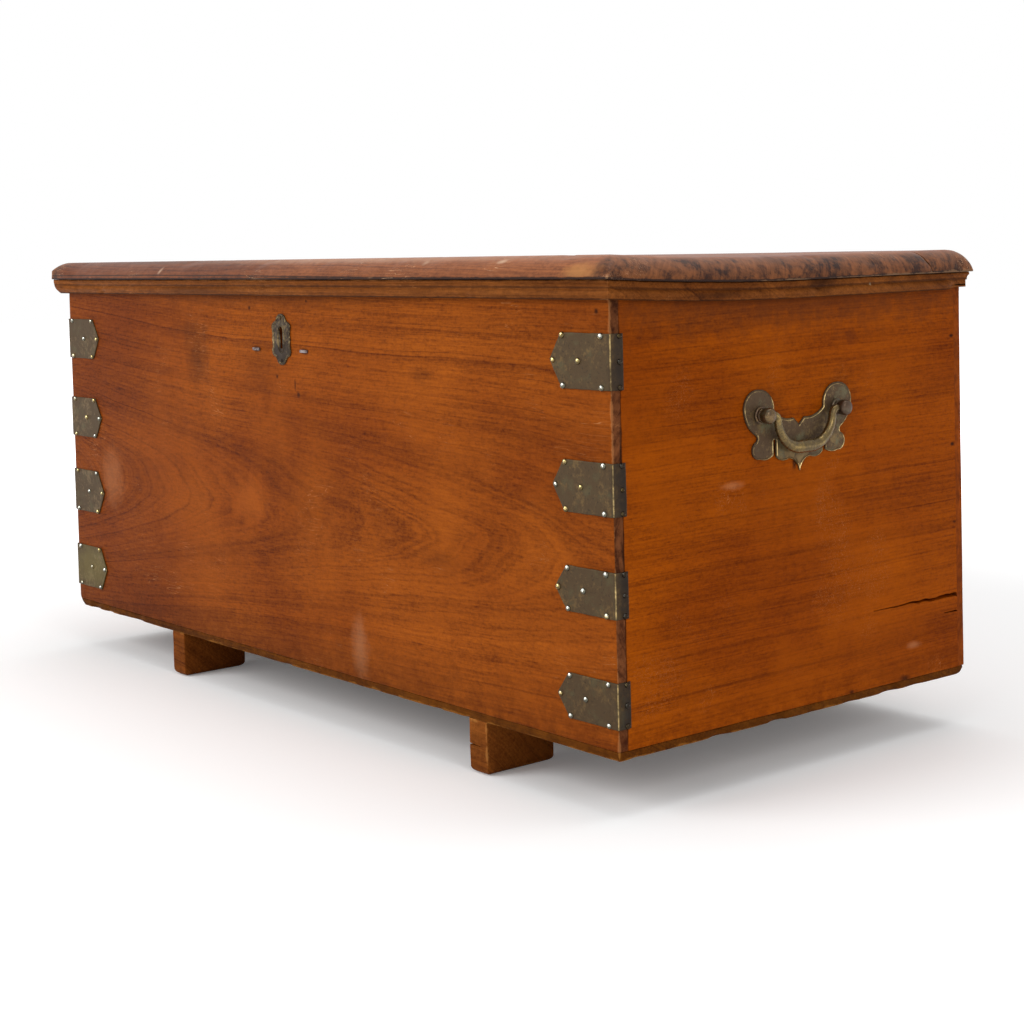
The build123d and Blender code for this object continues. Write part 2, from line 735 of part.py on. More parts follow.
staple_screw = screw_blank(
    staple_screw_radius, staple_screw_head_radius, staple_screw_head, staple_screw_length)
with BuildPart() as staple_screws:
    with Locations(*staple_screw_sites):
        add(staple_screw)
save(staple_screws, "lid_staple_screws")

# ---------------------------------------------------------------- butt hinges
knuckle_pitch = hinge_length / hinge_knuckles
knuckle_length = knuckle_pitch - knuckle_end_gap
flap_reach = leaf_reach - knuckle_radius - knuckle_clearance    # leaf short of the other's knuckles


def hinge_leaf(x, upward, first_knuckle, name):
    """One leaf: its flap over (1) or under (-1) the seam, and every other knuckle."""
    knuckles = [
        x - hinge_length / 2 + (index + 0.5) * knuckle_pitch
        for index in range(first_knuckle, hinge_knuckles, 2)
    ]
    leaf_z = case_top_z + upward * (leaf_gap + leaf_thickness / 2)
    with BuildPart() as leaf:
        with Locations((x, hinge_y - leaf_reach + flap_reach / 2, leaf_z)):
            Box(hinge_length, flap_reach, leaf_thickness)
        with Locations(*[(middle, leaf_middle_y, leaf_z) for middle in knuckles]):
            Box(knuckle_length, leaf_reach, leaf_thickness)
        with Locations(*[Location((middle, hinge_y, case_top_z), (0, 90, 0)) for middle in knuckles]):
            Cylinder(knuckle_radius, knuckle_length)
        with Locations(Location((x, hinge_y, case_top_z), (0, 90, 0))):
            Cylinder(hinge_pin_radius + running_clearance, hinge_length, mode=Mode.SUBTRACT)
        with Locations(*hinge_screw_sites(x, upward)):
            add(hinge_screw_hole, mode=Mode.SUBTRACT)
    save(leaf, name)


hinge_screw = screw_blank(
    hinge_screw_radius, hinge_screw_head_radius, hinge_screw_head, hinge_screw_length)


def hinge_screws(upward, name):
    """The screws of all three leaves on one side of the seam."""
    with BuildPart() as screws:
        for x in hinge_xs:
            with Locations(*hinge_screw_sites(x, upward)):
                add(hinge_screw)
    save(screws, name)


for number, x in enumerate(hinge_xs, start=1):
    hinge_leaf(x, -1, 0, f"hinge_case_leaf_{number}")
    hinge_leaf(x, 1, 1, f"hinge_lid_leaf_{number}")
    with BuildPart() as hinge_pin:
        with Locations(Location((x, hinge_y, case_top_z), (0, 90, 0))):
            Cylinder(hinge_pin_radius, hinge_length)
    save(hinge_pin, f"hinge_pin_{number}")

hinge_screws(-1, "hinge_case_screws")
hinge_screws(1, "hinge_lid_screws")


# ---------------------------------------------------------------- bail handles
def backplate_outline():
    """Bat-wing plate about the middle of the handle: two lobes behind the posts and a drop."""
    wing = post_spacing / 2
    lobe = plate_lobe
    top = plate_rise
    tip = -plate_drop
    notch = Line((0, 0.22 * tip), (0.35 * lobe, 0.1 * tip))
    wing_foot = ThreePointArc(notch @ 1, (wing - 1.43 * lobe, 0.08 * tip),
                              (wing - 0.87 * lobe, 0.08 * top))
    crown = ThreePointArc(wing_foot @ 1, (wing - 0.63 * lobe, 0.75 * top),
                          (wing + 0.04 * lobe, top))
    shoulder = ThreePointArc(crown @ 1, (wing + 0.72 * lobe, 0.8 * top),
                             (wing + lobe, 0.31 * top))
    flank = ThreePointArc(shoulder @ 1, (wing + 0.8 * lobe, 0.13 * tip),
                          (wing + 0.26 * lobe, 0.33 * tip))
    waist = ThreePointArc(flank @ 1, (wing + 0.2 * lobe, 0.4 * tip),
                          (wing + 0.35 * lobe, 0.45 * tip))
    heel = ThreePointArc(waist @ 1, (wing + 0.52 * lobe, 0.6 * tip),
                         (wing + 0.04 * lobe, 0.73 * tip))
    cleft = wing - 0.86 * lobe
    sole = ThreePointArc(heel @ 1, (wing - 0.39 * lobe, 0.745 * tip),
                         (cleft + plate_cleft / 2, 0.69 * tip))
    cleft_side = Line(sole @ 1, (cleft + plate_cleft / 2, 0.46 * tip))
    cleft_top = ThreePointArc(cleft_side @ 1, (cleft, 0.46 * tip + plate_cleft / 2),
                              (cleft - plate_cleft / 2, 0.46 * tip))
    cleft_foot = Line(cleft_top @ 1, (cleft - plate_cleft / 2, 0.72 * tip))
    scallop = ThreePointArc(cleft_foot @ 1, (1.13 * lobe, 0.79 * tip), (0.7 * lobe, 0.77 * tip))
    ThreePointArc(scallop @ 1, (0.26 * lobe, 0.83 * tip), (0, tip))
    mirror(about=Plane.YZ)


def post(side, y, name):
    """Turned post: a tang through the end board, a flange on the plate, a blunt-nosed head."""
    inward = 1 if y < handle_y else -1
    tang_end = end_thickness + nut_thickness + nut_projection
    flange_top = plate_thickness + post_flange_thickness
    head_foot = flange_top + post_neck_length
    nose_foot = post_reach - post_nose
    with BuildPart() as turned:
        with BuildSketch(Plane.XZ):
            with BuildLine():
                Polyline(
                    (0, plate_thickness),
                    (post_flange_radius, plate_thickness),
                    (post_flange_radius, flange_top),
                    (post_neck_radius, flange_top),
                    (post_neck_radius, head_foot),
                    (post_radius, head_foot),
                    (post_radius, nose_foot),
                    (post_nose_radius, post_reach),
                    (0, post_reach),
                    (0, plate_thickness),
                )
            make_face()
        revolve(axis=Axis.Z)
        with Locations((0, 0, -tang_end)):
            Box(tang_size, tang_size, tang_end + plate_thickness, align=above)
    socket_depth = bail_pin_length + bail_side_gap
    with BuildPart() as placed:
        with Locations(end_plane(side, y, pivot_z).location):
            add(turned.part)
        pivot_x = side * (half_length + bail_offset)
        mouth = (pivot_x, case_middle_y + y + inward * post_radius, pivot_z)
        with Locations(Location(mouth, (inward * 90, 0, 0))):
            Cylinder(bail_pin_radius + running_clearance, socket_depth, align=above,
                     mode=Mode.SUBTRACT)
    save(placed, name)


def bail(side, name):
    """Bail hanging from its posts: pins, rounded shoulders and knees, and a swelling grip."""
    collar = post_spacing / 2 - post_radius - bail_side_gap
    pin_end = collar + bail_side_gap + bail_pin_length
    arm_half = collar - bail_neck_length
    grip_half = arm_half - bail_lean
    knee_turn = pi / 2 - atan(bail_lean / bail_drop)
    straight_half = grip_half - bail_knee_radius * tan(knee_turn / 2)
    hanging = end_plane(side, handle_y, pivot_z, bail_offset)
    start = hanging.from_local_coords(Vector(-collar, 0, 0))
    with BuildPart() as rod:
        with BuildLine(hanging) as route:
            FilletPolyline(
                (-collar, 0),
                (-arm_half, 0),
                (-grip_half, -bail_drop),
                (grip_half, -bail_drop),
                (arm_half, 0),
                (collar, 0),
                radius=[bail_shoulder_radius, bail_knee_radius, bail_knee_radius,
                        bail_shoulder_radius],
            )
        with BuildSketch(Plane(origin=start, z_dir=(0, 1, 0))):
            RegularPolygon(bail_radius, bail_sides)
        sweep(path=route.wire())
        with Locations(Location(hanging.origin, (90, 0, 0))):
            with Locations((0, 0, collar), (0, 0, -collar)):
                Cylinder(bail_pin_radius, 2 * (pin_end - collar))
        grip_middle = hanging.from_local_coords(Vector(0, -bail_drop, 0))
        with BuildSketch(Plane(origin=grip_middle, z_dir=(0, 1, 0))):
            RegularPolygon(bail_radius + bail_swell, bail_sides)
        swell_flank = bail_swell * cos(pi / bail_sides)
        extrude(amount=straight_half, both=True, taper=degrees(atan(swell_flank / straight_half)))
    save(rod, name)


with BuildPart() as handle_nuts:
    for side in (-1, 1):
        with BuildSketch(end_plane(side, distance=-end_thickness)):
            with Locations(*[(side * y, pivot_z) for y in post_ys]):
                Rectangle(nut_size, nut_size)
                Rectangle(tang_size + 2 * running_clearance, tang_size + 2 * running_clearance,
                          mode=Mode.SUBTRACT)
        extrude(amount=-nut_thickness)
save(handle_nuts, "handle_nuts")

for side, end_name in ((-1, "left"), (1, "right")):
    with BuildPart() as backplate:
        with BuildSketch(end_plane(side, handle_y, pivot_z)):
            with BuildLine():
                backplate_outline()
            make_face()
        extrude(amount=plate_thickness)
        cut_tang_holes(side, plate_thickness, plate_thickness)
    save(backplate, f"handle_backplate_{end_name}")
    post(side, post_ys[0], f"handle_post_{end_name}_front")
    post(side, post_ys[1], f"handle_post_{end_name}_rear")
    bail(side, f"bail_{end_name}")

# ---------------------------------------------------------------- what the joints turn about
print(f"lid hinge: y {hinge_y:.3f}, z {case_top_z:.3f}")
print(f"bails: x {half_length + bail_offset:.3f}, y {case_middle_y + handle_y:.3f}, "
      f"z {pivot_z:.3f}")
print(f"bolt: {bolt_throw:.1f} along X at y {cavity_middle_y:.3f}, z {bolt_z:.3f}")
print(f"curl of the lid's front edge: {degrees(nose_slope):.2f} degrees")
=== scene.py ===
from math import atan2, ceil, cos, pi, radians, sin, sqrt

import bmesh
import bpy
import numpy as np
from mathutils import Matrix, Vector, noise


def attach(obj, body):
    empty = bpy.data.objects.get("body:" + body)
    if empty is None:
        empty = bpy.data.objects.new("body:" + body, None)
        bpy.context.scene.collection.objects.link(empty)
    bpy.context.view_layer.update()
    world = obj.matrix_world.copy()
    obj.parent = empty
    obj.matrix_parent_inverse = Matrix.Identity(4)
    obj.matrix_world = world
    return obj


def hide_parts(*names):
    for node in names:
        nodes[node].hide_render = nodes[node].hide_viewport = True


# Long boarded chest: worn teak boards, a cupped lid over moulded strips, brass corner straps
# with dome nails, a scalloped escutcheon and bail handles on bat-wing plates. Metres, Z up.

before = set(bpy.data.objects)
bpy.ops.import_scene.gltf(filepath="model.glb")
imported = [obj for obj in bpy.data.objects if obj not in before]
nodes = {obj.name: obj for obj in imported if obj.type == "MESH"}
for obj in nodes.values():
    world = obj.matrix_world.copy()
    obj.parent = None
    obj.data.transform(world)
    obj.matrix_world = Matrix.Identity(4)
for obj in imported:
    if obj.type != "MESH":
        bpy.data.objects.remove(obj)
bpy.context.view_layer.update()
scene = bpy.context.scene
scene.view_settings.view_transform = "Standard"

# ------------------------------------------------------------------ sizes shared with the solids
MM = 0.001
HALF_LENGTH = 0.555
FRONT_Y = -0.2501
BACK_Y = 0.2619
MIDDLE_Y = 0.0059
FOOT_Z = 0.056
BOARD_Z = 0.0645
TOP_Z = 0.497
BOARD_THICK = 0.020
END_THICK = 0.018
CORNER_LAP = 0.011
LID_HALF = 0.5715
NOSE_Y = -0.2666
REAR_Y = 0.2649
LID_THICK = 0.024
CUP_RADIUS = 4.0
NOSE_RADIUS = 0.038
NOSE_RUN = 0.03398
KEY_X = -0.010
KEY_EYE_Z = 0.4465
ESCUTCHEON_Z = 0.4365
PIVOT_Z = 0.365
HANDLE_Y = 0.0009
POST_HALF = 0.056
BAIL_OUT = 0.0102


# ------------------------------------------------------------------ camera
def place_camera():
    """Eye level with the upper half of the chest, off its right front corner."""
    yaw, pitch, roll = -0.8917, -0.0546, -0.0261
    ahead = Vector((sin(yaw) * cos(pitch), cos(yaw) * cos(pitch), sin(pitch)))
    level = Vector((cos(yaw), -sin(yaw), 0.0))
    upright = level.cross(ahead)
    across = level * cos(roll) + upright * sin(roll)
    upward = upright * cos(roll) - level * sin(roll)
    camera_data = bpy.data.cameras.new("camera")
    camera_data.lens = 66.386
    camera_data.sensor_width = 36.0
    camera_data.shift_y = -0.165
    camera_data.clip_start = 0.05
    camera = bpy.data.objects.new("camera", camera_data)
    turn = Matrix((across, upward, -ahead)).transposed().to_4x4()
    camera.matrix_world = Matrix.Translation((1.8464, -1.4080, 0.5440)) @ turn
    scene.collection.objects.link(camera)
    scene.camera = camera


place_camera()


# ------------------------------------------------------------------ node helpers
def operator(operation, swapped=False):
    """An arithmetic sign between two wires, or a wire and a number, as one node."""
    def work(wire, other):
        return wire.graph.math(operation, *((other, wire) if swapped else (wire, other)))
    return work


class Wire:
    """A value in a node tree, to reckon with as with a number or a vector."""

    def __init__(self, graph, socket):
        self.graph = graph
        self.socket = socket

    __add__ = operator("ADD")
    __sub__ = operator("SUBTRACT")
    __rsub__ = operator("SUBTRACT", swapped=True)
    __mul__ = operator("MULTIPLY")
    __truediv__ = operator("DIVIDE")
    smaller = operator("MINIMUM")
    larger = operator("MAXIMUM")

    def __abs__(self):
        return self.graph.math("ABSOLUTE", self)

    def times_plus(self, factor, term):
        return self.graph.math("MULTIPLY_ADD", self, factor, term)

    def step(self, low, high, to_low=0.0, to_high=1.0):
        """Smooth step of the value between low and high."""
        given = dict(enumerate((self, low, high, to_low, to_high)))
        return self.graph.out("ShaderNodeMapRange", given, interpolation_type="SMOOTHSTEP")

    def noise(self, scale, detail=2.0, rough=0.5):
        return self.graph.out("ShaderNodeTexNoise", {"Vector": self, "Scale": scale,
                                                     "Detail": detail, "Roughness": rough})

    def split(self):
        return self.graph.outs("ShaderNodeSeparateXYZ", {0: self})

    def length(self):
        return self.graph.out("ShaderNodeVectorMath", {0: self}, "Value", operation="LENGTH")


def spaced(name):
    return name.replace("_", " ")


class Graph:
    """A small writer for a node tree: adds nodes, links sockets and lays nothing out."""

    def __init__(self, tree):
        self.tree = tree
        self.nodes = tree.nodes

    def feed(self, socket, value):
        if isinstance(value, Wire):
            self.tree.links.new(value.socket, socket)
        elif value is not None:
            if socket.type == "RGBA" and len(value) == 3:
                value = (*value, 1.0)
            socket.default_value = value

    def add(self, kind, inputs=None, **settings):
        node = self.nodes.new(kind)
        for key, value in settings.items():
            setattr(node, key, value)
        for key, value in (inputs or {}).items():
            self.feed(node.inputs[key], value)
        return node

    def out(self, kind, inputs=None, output=0, **settings):
        """One output of a new node."""
        return Wire(self, self.add(kind, inputs, **settings).outputs[output])

    def outs(self, kind, inputs=None, **settings):
        """All outputs of a new node, in order."""
        return [Wire(self, socket) for socket in self.add(kind, inputs, **settings).outputs]

    def math(self, operation, *terms, clamp=False):
        given = dict(enumerate(terms))
        if any(isinstance(term, Wire) and term.socket.type == "VECTOR" for term in terms):
            return self.out("ShaderNodeVectorMath", given, operation=operation)
        return self.out("ShaderNodeMath", given, operation=operation, use_clamp=clamp)

    def join(self, x, y, z):
        return self.out("ShaderNodeCombineXYZ", {0: x, 1: y, 2: z})

    def mix(self, factor, a, b, blend="MIX"):
        return self.out("ShaderNodeMix", {0: factor, 6: a, 7: b}, 2, data_type="RGBA",
                        blend_type=blend, clamp_factor=True)

    def seen_white(self):
        """1 for the eye, mirrors and glass, 0 for the light that falls on the chest."""
        rays = self.add("ShaderNodeLightPath").outputs
        camera, glossy, glass = (Wire(self, rays[f"Is {name} Ray"])
                                 for name in ("Camera", "Glossy", "Transmission"))
        return camera.larger(glossy.larger(glass))

    def close(self, **results):
        """Name the results of a group and give them out."""
        for label, result in results.items():
            kind = "NodeSocketColor" if result.socket.type == "RGBA" else "NodeSocketFloat"
            self.tree.interface.new_socket(spaced(label), in_out="OUTPUT", socket_type=kind)
        self.add("NodeGroupOutput", {spaced(label): wire for label, wire in results.items()})
        return self.tree


def new_group(name, **inputs):
    """Shader node group: an input named so is a colour, one with three parts a vector."""
    tree = bpy.data.node_groups.new(name, "ShaderNodeTree")
    for label, default in {"Position": (0.0, 0.0, 0.0), **inputs}.items():
        kind = "Color" if "Colour" in label else (
            "Vector" if isinstance(default, tuple) else "Float")
        socket = tree.interface.new_socket(spaced(label), in_out="INPUT",
                                           socket_type="NodeSocket" + kind)
        socket.default_value = (*default, 1.0) if kind == "Color" else default
    graph = Graph(tree)
    sockets = graph.add("NodeGroupInput").outputs
    return graph, {socket.name: Wire(graph, socket) for socket in sockets}


def srgb(red, green, blue):
    """Linear colour of an 8-bit sRGB triple."""
    return tuple(c / 12.92 if c <= 0.04045 else ((c + 0.055) / 1.055) ** 2.4
                 for c in (red / 255, green / 255, blue / 255))


# ------------------------------------------------------------------ shared effects
def build_grain():
    """Flat-sawn figure: rings of a tapering log, cut into nested arches that open along X."""
    graph, entry = new_group(
        "wood_grain", Log_Centre=(0.0, 0.0, 0.0), Taper=0.014, Taper_Run=0.45, Ring_Width=0.005,
        Waviness=1.0, Early_Colour=(0.4, 0.15, 0.05), Late_Colour=(0.15, 0.05, 0.02),
        Contrast=0.6)
    join = graph.join
    along, depth, rise = (entry["Position"] - entry["Log Centre"]).split()
    stretched = join(along * 0.22, depth, rise)
    sway = stretched.noise(6.0) - 0.5
    ripple = stretched.noise(34.0) - 0.5
    run = graph.math("SMOOTH_MIN", along, entry["Taper Run"], 0.2)
    square = rise.times_plus(rise, (along + run) * entry["Taper"])
    ring = depth.times_plus(0.5, graph.math("SQRT", square.larger(0.00001)))
    pushed = sway.times_plus(entry["Waviness"] * 0.030, ring)
    pushed = ripple.times_plus(entry["Waviness"] * 0.005, pushed)
    count = pushed / entry["Ring Width"]
    uneven = join(0.0, 0.0, count).noise(0.7, 1.0).times_plus(2.0, count)
    phase = graph.math("FRACT", uneven)
    which = join(graph.math("FLOOR", uneven), 0.0, 0.0).noise(3.1, 0.0)
    patchy = stretched.noise(14.0, 3.0, 0.6).step(0.36, 0.64, 0.25, 1.0)
    strength = which.step(0.40, 0.72, 0.16, 0.66) * patchy
    late = phase.step(0.45, 0.88) * phase.step(1.0, 0.93) * strength
    fibre = join(along * 0.07, depth, rise).noise(420.0, 4.0, 0.7)
    darkness = late * entry["Contrast"]
    for streaks, low, high, amount in (
            (join(along * 1.6, 0.0, uneven * 3.3).noise(1.0, 2.0, 0.6), 0.40, 0.72, 0.30),
            (join(along * 0.8, 0.0, uneven * 0.33).noise(1.0), 0.35, 0.70, 0.26),
            (fibre, 0.38, 0.68, 0.27),
            (join(along * 0.45, depth, rise).noise(300.0, 4.0, 0.75), 0.42, 0.70, 0.28),
            (entry["Position"].noise(330.0, 3.0, 0.8), 0.40, 0.66, 0.18)):
        darkness = darkness + streaks.step(low, high, 0.0, amount)
    colour = graph.mix(darkness.smaller(1.0), entry["Early Colour"], entry["Late Colour"])
    tone = join(along * 0.5, depth, rise).noise(6.0, 4.0, 0.55)
    return graph.close(Colour=colour, Height=late.times_plus(0.35, fibre * -0.5), Tone=tone)


def build_arris():
    """How far a point of a board is from the nearest arris, worn to a ragged line."""
    graph, entry = new_group("arris_wear", Low=(0.0, 0.0, 0.0), High=(1.0, 1.0, 1.0),
                             Width=0.003)
    position = entry["Position"]
    to_low = abs(position - entry["Low"]).split()
    to_high = abs(entry["High"] - position).split()
    a, b, c = (low.smaller(high) for low, high in zip(to_low, to_high))
    middle = a.smaller(b).larger(a.larger(b).smaller(c))
    reach = entry["Width"] * position.noise(55.0, 4.0, 0.65).step(0.3, 0.75, 0.25, 2.2)
    reach = reach * position.noise(9.0).step(0.35, 0.65, 0.45, 1.3)
    return graph.close(Wear=(middle / reach).step(1.0, 0.35), Above_Foot=to_low[2])


def build_marks():
    """Dents, rubbed patches, fine scratches and dark specks of long use."""
    graph, entry = new_group("use_marks", Scratch_Amount=0.5, Speck_Amount=0.5)
    position = entry["Position"]
    swirl = graph.out("ShaderNodeTexNoise", {"Vector": position, "Scale": 4.0}, "Color")
    bent = position + graph.out("ShaderNodeVectorMath", {0: swirl, "Scale": 0.05},
                                operation="SCALE")
    scratches = []
    for turn, stretch in ((0.5, 26.0), (-0.8, 34.0)):
        turned = graph.out("ShaderNodeMapping", {"Vector": bent,
                                                 "Rotation": (turn, turn * 0.7, turn),
                                                 "Scale": (1.0, stretch, stretch)})
        line = abs(turned.noise(9.0, 1.0, 0.4) - 0.5).step(0.010, 0.002)
        scratches.append(line * position.noise(11.0 + 3.0 * turn).step(0.60, 0.70))
    away, cell_colour, _ = graph.outs("ShaderNodeTexVoronoi",
                                      {"Vector": position, "Scale": 42.0})[:3]
    rare, size, _ = cell_colour.split()
    speck = (away / size.times_plus(0.07, 0.02)).step(1.0, 0.5) * rare.step(0.86, 0.88)
    return graph.close(Rubbed=position.noise(6.0, 5.0, 0.6).step(0.42, 0.72),
                       Scratch=scratches[0].larger(scratches[1]) * entry["Scratch Amount"],
                       Speck=speck * entry["Speck Amount"],
                       Haze=position.noise(60.0, 4.0, 0.7))


def build_patina():
    """Old brass: dull brown skin, green bloom in the hollows, bright metal where rubbed."""
    graph, entry = new_group(
        "brass_patina", Metal_Colour=(0.6, 0.45, 0.2), Skin_Colour=(0.09, 0.06, 0.03),
        Bloom_Colour=(0.12, 0.12, 0.05), Skin=0.8, Bloom=0.3, Bright=0.0)
    position = entry["Position"]
    broad = position.noise(28.0, 4.0, 0.6)
    fine = position.noise(240.0, 4.0, 0.65)
    pits = position.noise(420.0)
    both = fine.times_plus(0.45, broad * 0.55)
    skin = graph.math("SUBTRACT", both.step(0.36, 0.60) + entry["Skin"], 0.5, clamp=True)
    skin = skin * (1.0 - entry["Bright"])
    bloom = position.noise(60.0, 5.0, 0.7).step(0.5, 0.7) * entry["Bloom"]
    colour = graph.mix(skin, entry["Metal Colour"], entry["Skin Colour"])
    colour = graph.mix(bloom, colour, entry["Bloom Colour"])
    colour = graph.mix(pits.step(0.58, 0.75, 0.0, 0.5), colour, (0.015, 0.01, 0.006))
    metal = graph.math("SUBTRACT", 1.0 - skin * 0.35, bloom * 0.5, clamp=True)
    return graph.close(Colour=colour, Rough=fine.times_plus(0.16, skin.times_plus(0.28, 0.30)),
                       Metal=metal, Height=broad.times_plus(0.6, pits * -0.35))


def build_end_grain():
    """Sawn end of a board: fine curved ring lines, dark pores and saw marks."""
    graph, entry = new_group(
        "end_grain", Centre=(0.0, 0.0, 0.0), Ring_Width=0.003, Light_Colour=(0.2, 0.08, 0.05),
        Dark_Colour=(0.05, 0.02, 0.01))
    position = entry["Position"]
    ring = ((position - entry["Centre"]) * (0.0, 1.0, 1.0)).length()
    bend = position.noise(16.0, 3.0) - 0.5
    count = bend.times_plus(0.03, ring) / entry["Ring Width"]
    lines = graph.join(0.0, 0.0, count).noise(1.0, 3.0, 0.7).step(0.38, 0.62)
    dark = lines.times_plus(0.38, position.noise(90.0, 4.0, 0.7).step(0.40, 0.66, 0.0, 0.50))
    dark = dark + position.noise(22.0, 3.0, 0.6).step(0.38, 0.62, 0.0, 0.40)
    return graph.close(Colour=graph.mix(dark, entry["Light Colour"], entry["Dark Colour"]))


def build_smudge():
    """A soft ragged patch: 1 in its middle, 0 outside its size on each axis."""
    graph, entry = new_group("smudge", Centre=(0.0, 0.0, 0.0), Size=(0.05, 0.05, 0.05),
                             Amount=0.5)
    place = (entry["Position"] - entry["Centre"]) / entry["Size"]
    ragged = entry["Position"].noise(70.0, 3.0, 0.65) - 0.5
    away = ragged.times_plus(0.9, place.length())
    return graph.close(Mask=away.step(1.0, 0.1, 0.0, entry["Amount"]))


def build_dark_line():
    """A dark line of grime and painted shade along the lid, level above its cupped underside or
    climbing to the left.
    """
    graph, entry = new_group("dark_line", Level=0.0, Width=0.001, Amount=0.7, Climb=0.0)
    x, y, z = entry["Position"].split()
    level = entry["Level"] + entry["Climb"] * x.step(0.40, -0.30)
    ahead = (MIDDLE_Y - y).larger(0.0)
    rise = z - TOP_Z - ahead * ahead * (0.5 / CUP_RADIUS)
    reach = entry["Width"] * entry["Position"].noise(90.0).step(0.3, 0.7, 0.7, 1.4)
    mask = (abs(rise - level) / reach).step(1.0, 0.2, 0.0, entry["Amount"])
    past_case = (abs(x) - HALF_LENGTH).larger(FRONT_Y - y)
    return graph.close(Mask=mask * past_case.step(0.003, 0.006))


GRAIN = build_grain()
DARK_LINE = build_dark_line()
END_GRAIN = build_end_grain()
SMUDGE = build_smudge()
ARRIS = build_arris()
MARKS = build_marks()
PATINA = build_patina()


# ------------------------------------------------------------------ materials
class Finish(Graph):
    """A material with a Principled BSDF that a maker's recipe is written into."""

    def __init__(self, name, **plain):
        self.material = bpy.data.materials.new(name)
        self.material.use_nodes = True
        super().__init__(self.material.node_tree)
        self.shader = next(n for n in self.nodes if n.type == "BSDF_PRINCIPLED")
        self.dress(**plain)
        self.position = self.out("ShaderNodeTexCoord", output="Object")

    def dress(self, **values):
        """Feed the shader's own inputs."""
        for label, value in values.items():
            self.feed(self.shader.inputs[spaced(label)], value)

    def group(self, tree, position=None, **values):
        given = {spaced(label): value for label, value in values.items()}
        node = self.add("ShaderNodeGroup", {"Position": position or self.position, **given},
                        node_tree=tree)
        return {socket.name: Wire(self, socket) for socket in node.outputs}

    def smudged(self, colour, smudges):
        """The colour under soft patches, each with a centre, a size, an amount and a shade."""
        for centre, size, amount, shade in smudges:
            spot = self.group(SMUDGE, Centre=centre, Size=size, Amount=amount)
            colour = self.mix(spot["Mask"], colour, srgb(*shade))
        return colour

    def finish(self, colour, rough, metal, height, depth, strength):
        bump = self.out("ShaderNodeBump", {"Height": height, "Distance": depth,
                                           "Strength": strength})
        self.dress(Base_Color=colour, Roughness=rough, Metallic=metal, Normal=bump)
        return self.material


# Dark brown for grime, and for painted shade in seams, holes and under overhangs.
GRIME_AND_SHADE = (40, 18, 8)
INK = (0.02, 0.01, 0.006)
TONE_SHADE = (196, 176, 160)
RUBBED = 0.35


def wood_finish(name, low, high, early, late, pale=(196, 130, 78), log=(0.0, 0.0, 0.0),
                taper=0.014, run=0.45, ring=0.005, turn=0.0, contrast=0.6, wavy=1.0,
                wear=0.003, wear_show=0.4, scratches=0.5, specks=0.5, gloss=0.46,
                foot_dirt=0.5, sheen=0.03, ends=None, smudges=(), lines=(), side_shade=None):
    """Old oiled wood of one board: figure, tone, painted shade towards one side, end grain,
    arrises, marks, and grime with painted shade.
    """
    made = Finish(name, Specular_IOR_Level=sheen)
    early, late, pale = srgb(*early), srgb(*late), srgb(*pale)
    turned = made.out("ShaderNodeMapping", {"Vector": made.position,
                                            "Rotation": (0.0, 0.0, turn)})
    grain = made.group(GRAIN, turned, Log_Centre=log, Taper=taper, Taper_Run=run,
                       Ring_Width=ring, Waviness=wavy, Early_Colour=early, Late_Colour=late,
                       Contrast=contrast)
    arris = made.group(ARRIS, Low=low, High=high, Width=wear)
    marks = made.group(MARKS, Scratch_Amount=scratches, Speck_Amount=specks)
    tone = grain["Tone"].step(0.32, 0.68) * 0.75
    colour = made.mix(tone, grain["Colour"], srgb(*TONE_SHADE), "MULTIPLY")
    colour = made.mix(marks["Rubbed"] * RUBBED, colour, early)
    # Painted shade: the board darker and greyer towards the left along x.
    if side_shade is not None:
        shade_colour, start, stop = side_shade
        far = made.position.split()[0].step(start, stop)
        colour = made.mix(far, colour, srgb(*shade_colour), "MULTIPLY")
    if ends is not None:
        light, dark, start, fade, centre, end_ring = ends
        sawn = made.group(END_GRAIN, turned, Centre=centre, Ring_Width=end_ring,
                          Light_Colour=srgb(*light), Dark_Colour=srgb(*dark))
        at_end = abs(turned.split()[0]).step(start, start + fade)
        colour = made.mix(at_end, colour, sawn["Colour"])
    grime = arris["Above Foot"].step(0.05, 0.0, 0.0, foot_dirt) * marks["Haze"].step(0.35, 0.65)
    colour = made.smudged(made.mix(grime, colour, late), smudges)
    # Dark lines along the lid's seams and the strips' hollows: grime and painted shade.
    for level, width, amount, climb in lines:
        line = made.group(DARK_LINE, Level=level, Width=width, Amount=amount, Climb=climb)
        colour = made.mix(line["Mask"], colour, srgb(*GRIME_AND_SHADE))
    colour = made.mix(arris["Wear"] * wear_show, colour, pale)
    colour = made.mix(marks["Scratch"], colour, pale)
    colour = made.mix(marks["Speck"], colour, INK)
    rough = arris["Wear"].times_plus(0.18, marks["Haze"].times_plus(0.22, gloss - 0.08))
    height = grain["Height"] - marks["Scratch"] * 0.8
    return made.finish(colour, rough, None, height, 0.0004, 0.3)


def on_front(x, z, wide, tall, amount, shade=GRIME_AND_SHADE, y=FRONT_Y):
    """A soft patch that faces forward."""
    return (x, y, z), (wide, 0.03, tall), amount, shade


def on_end(y, z, wide, tall, amount, shade=GRIME_AND_SHADE):
    """A soft patch on the right end."""
    return (HALF_LENGTH, y, z), (0.03, wide, tall), amount, shade


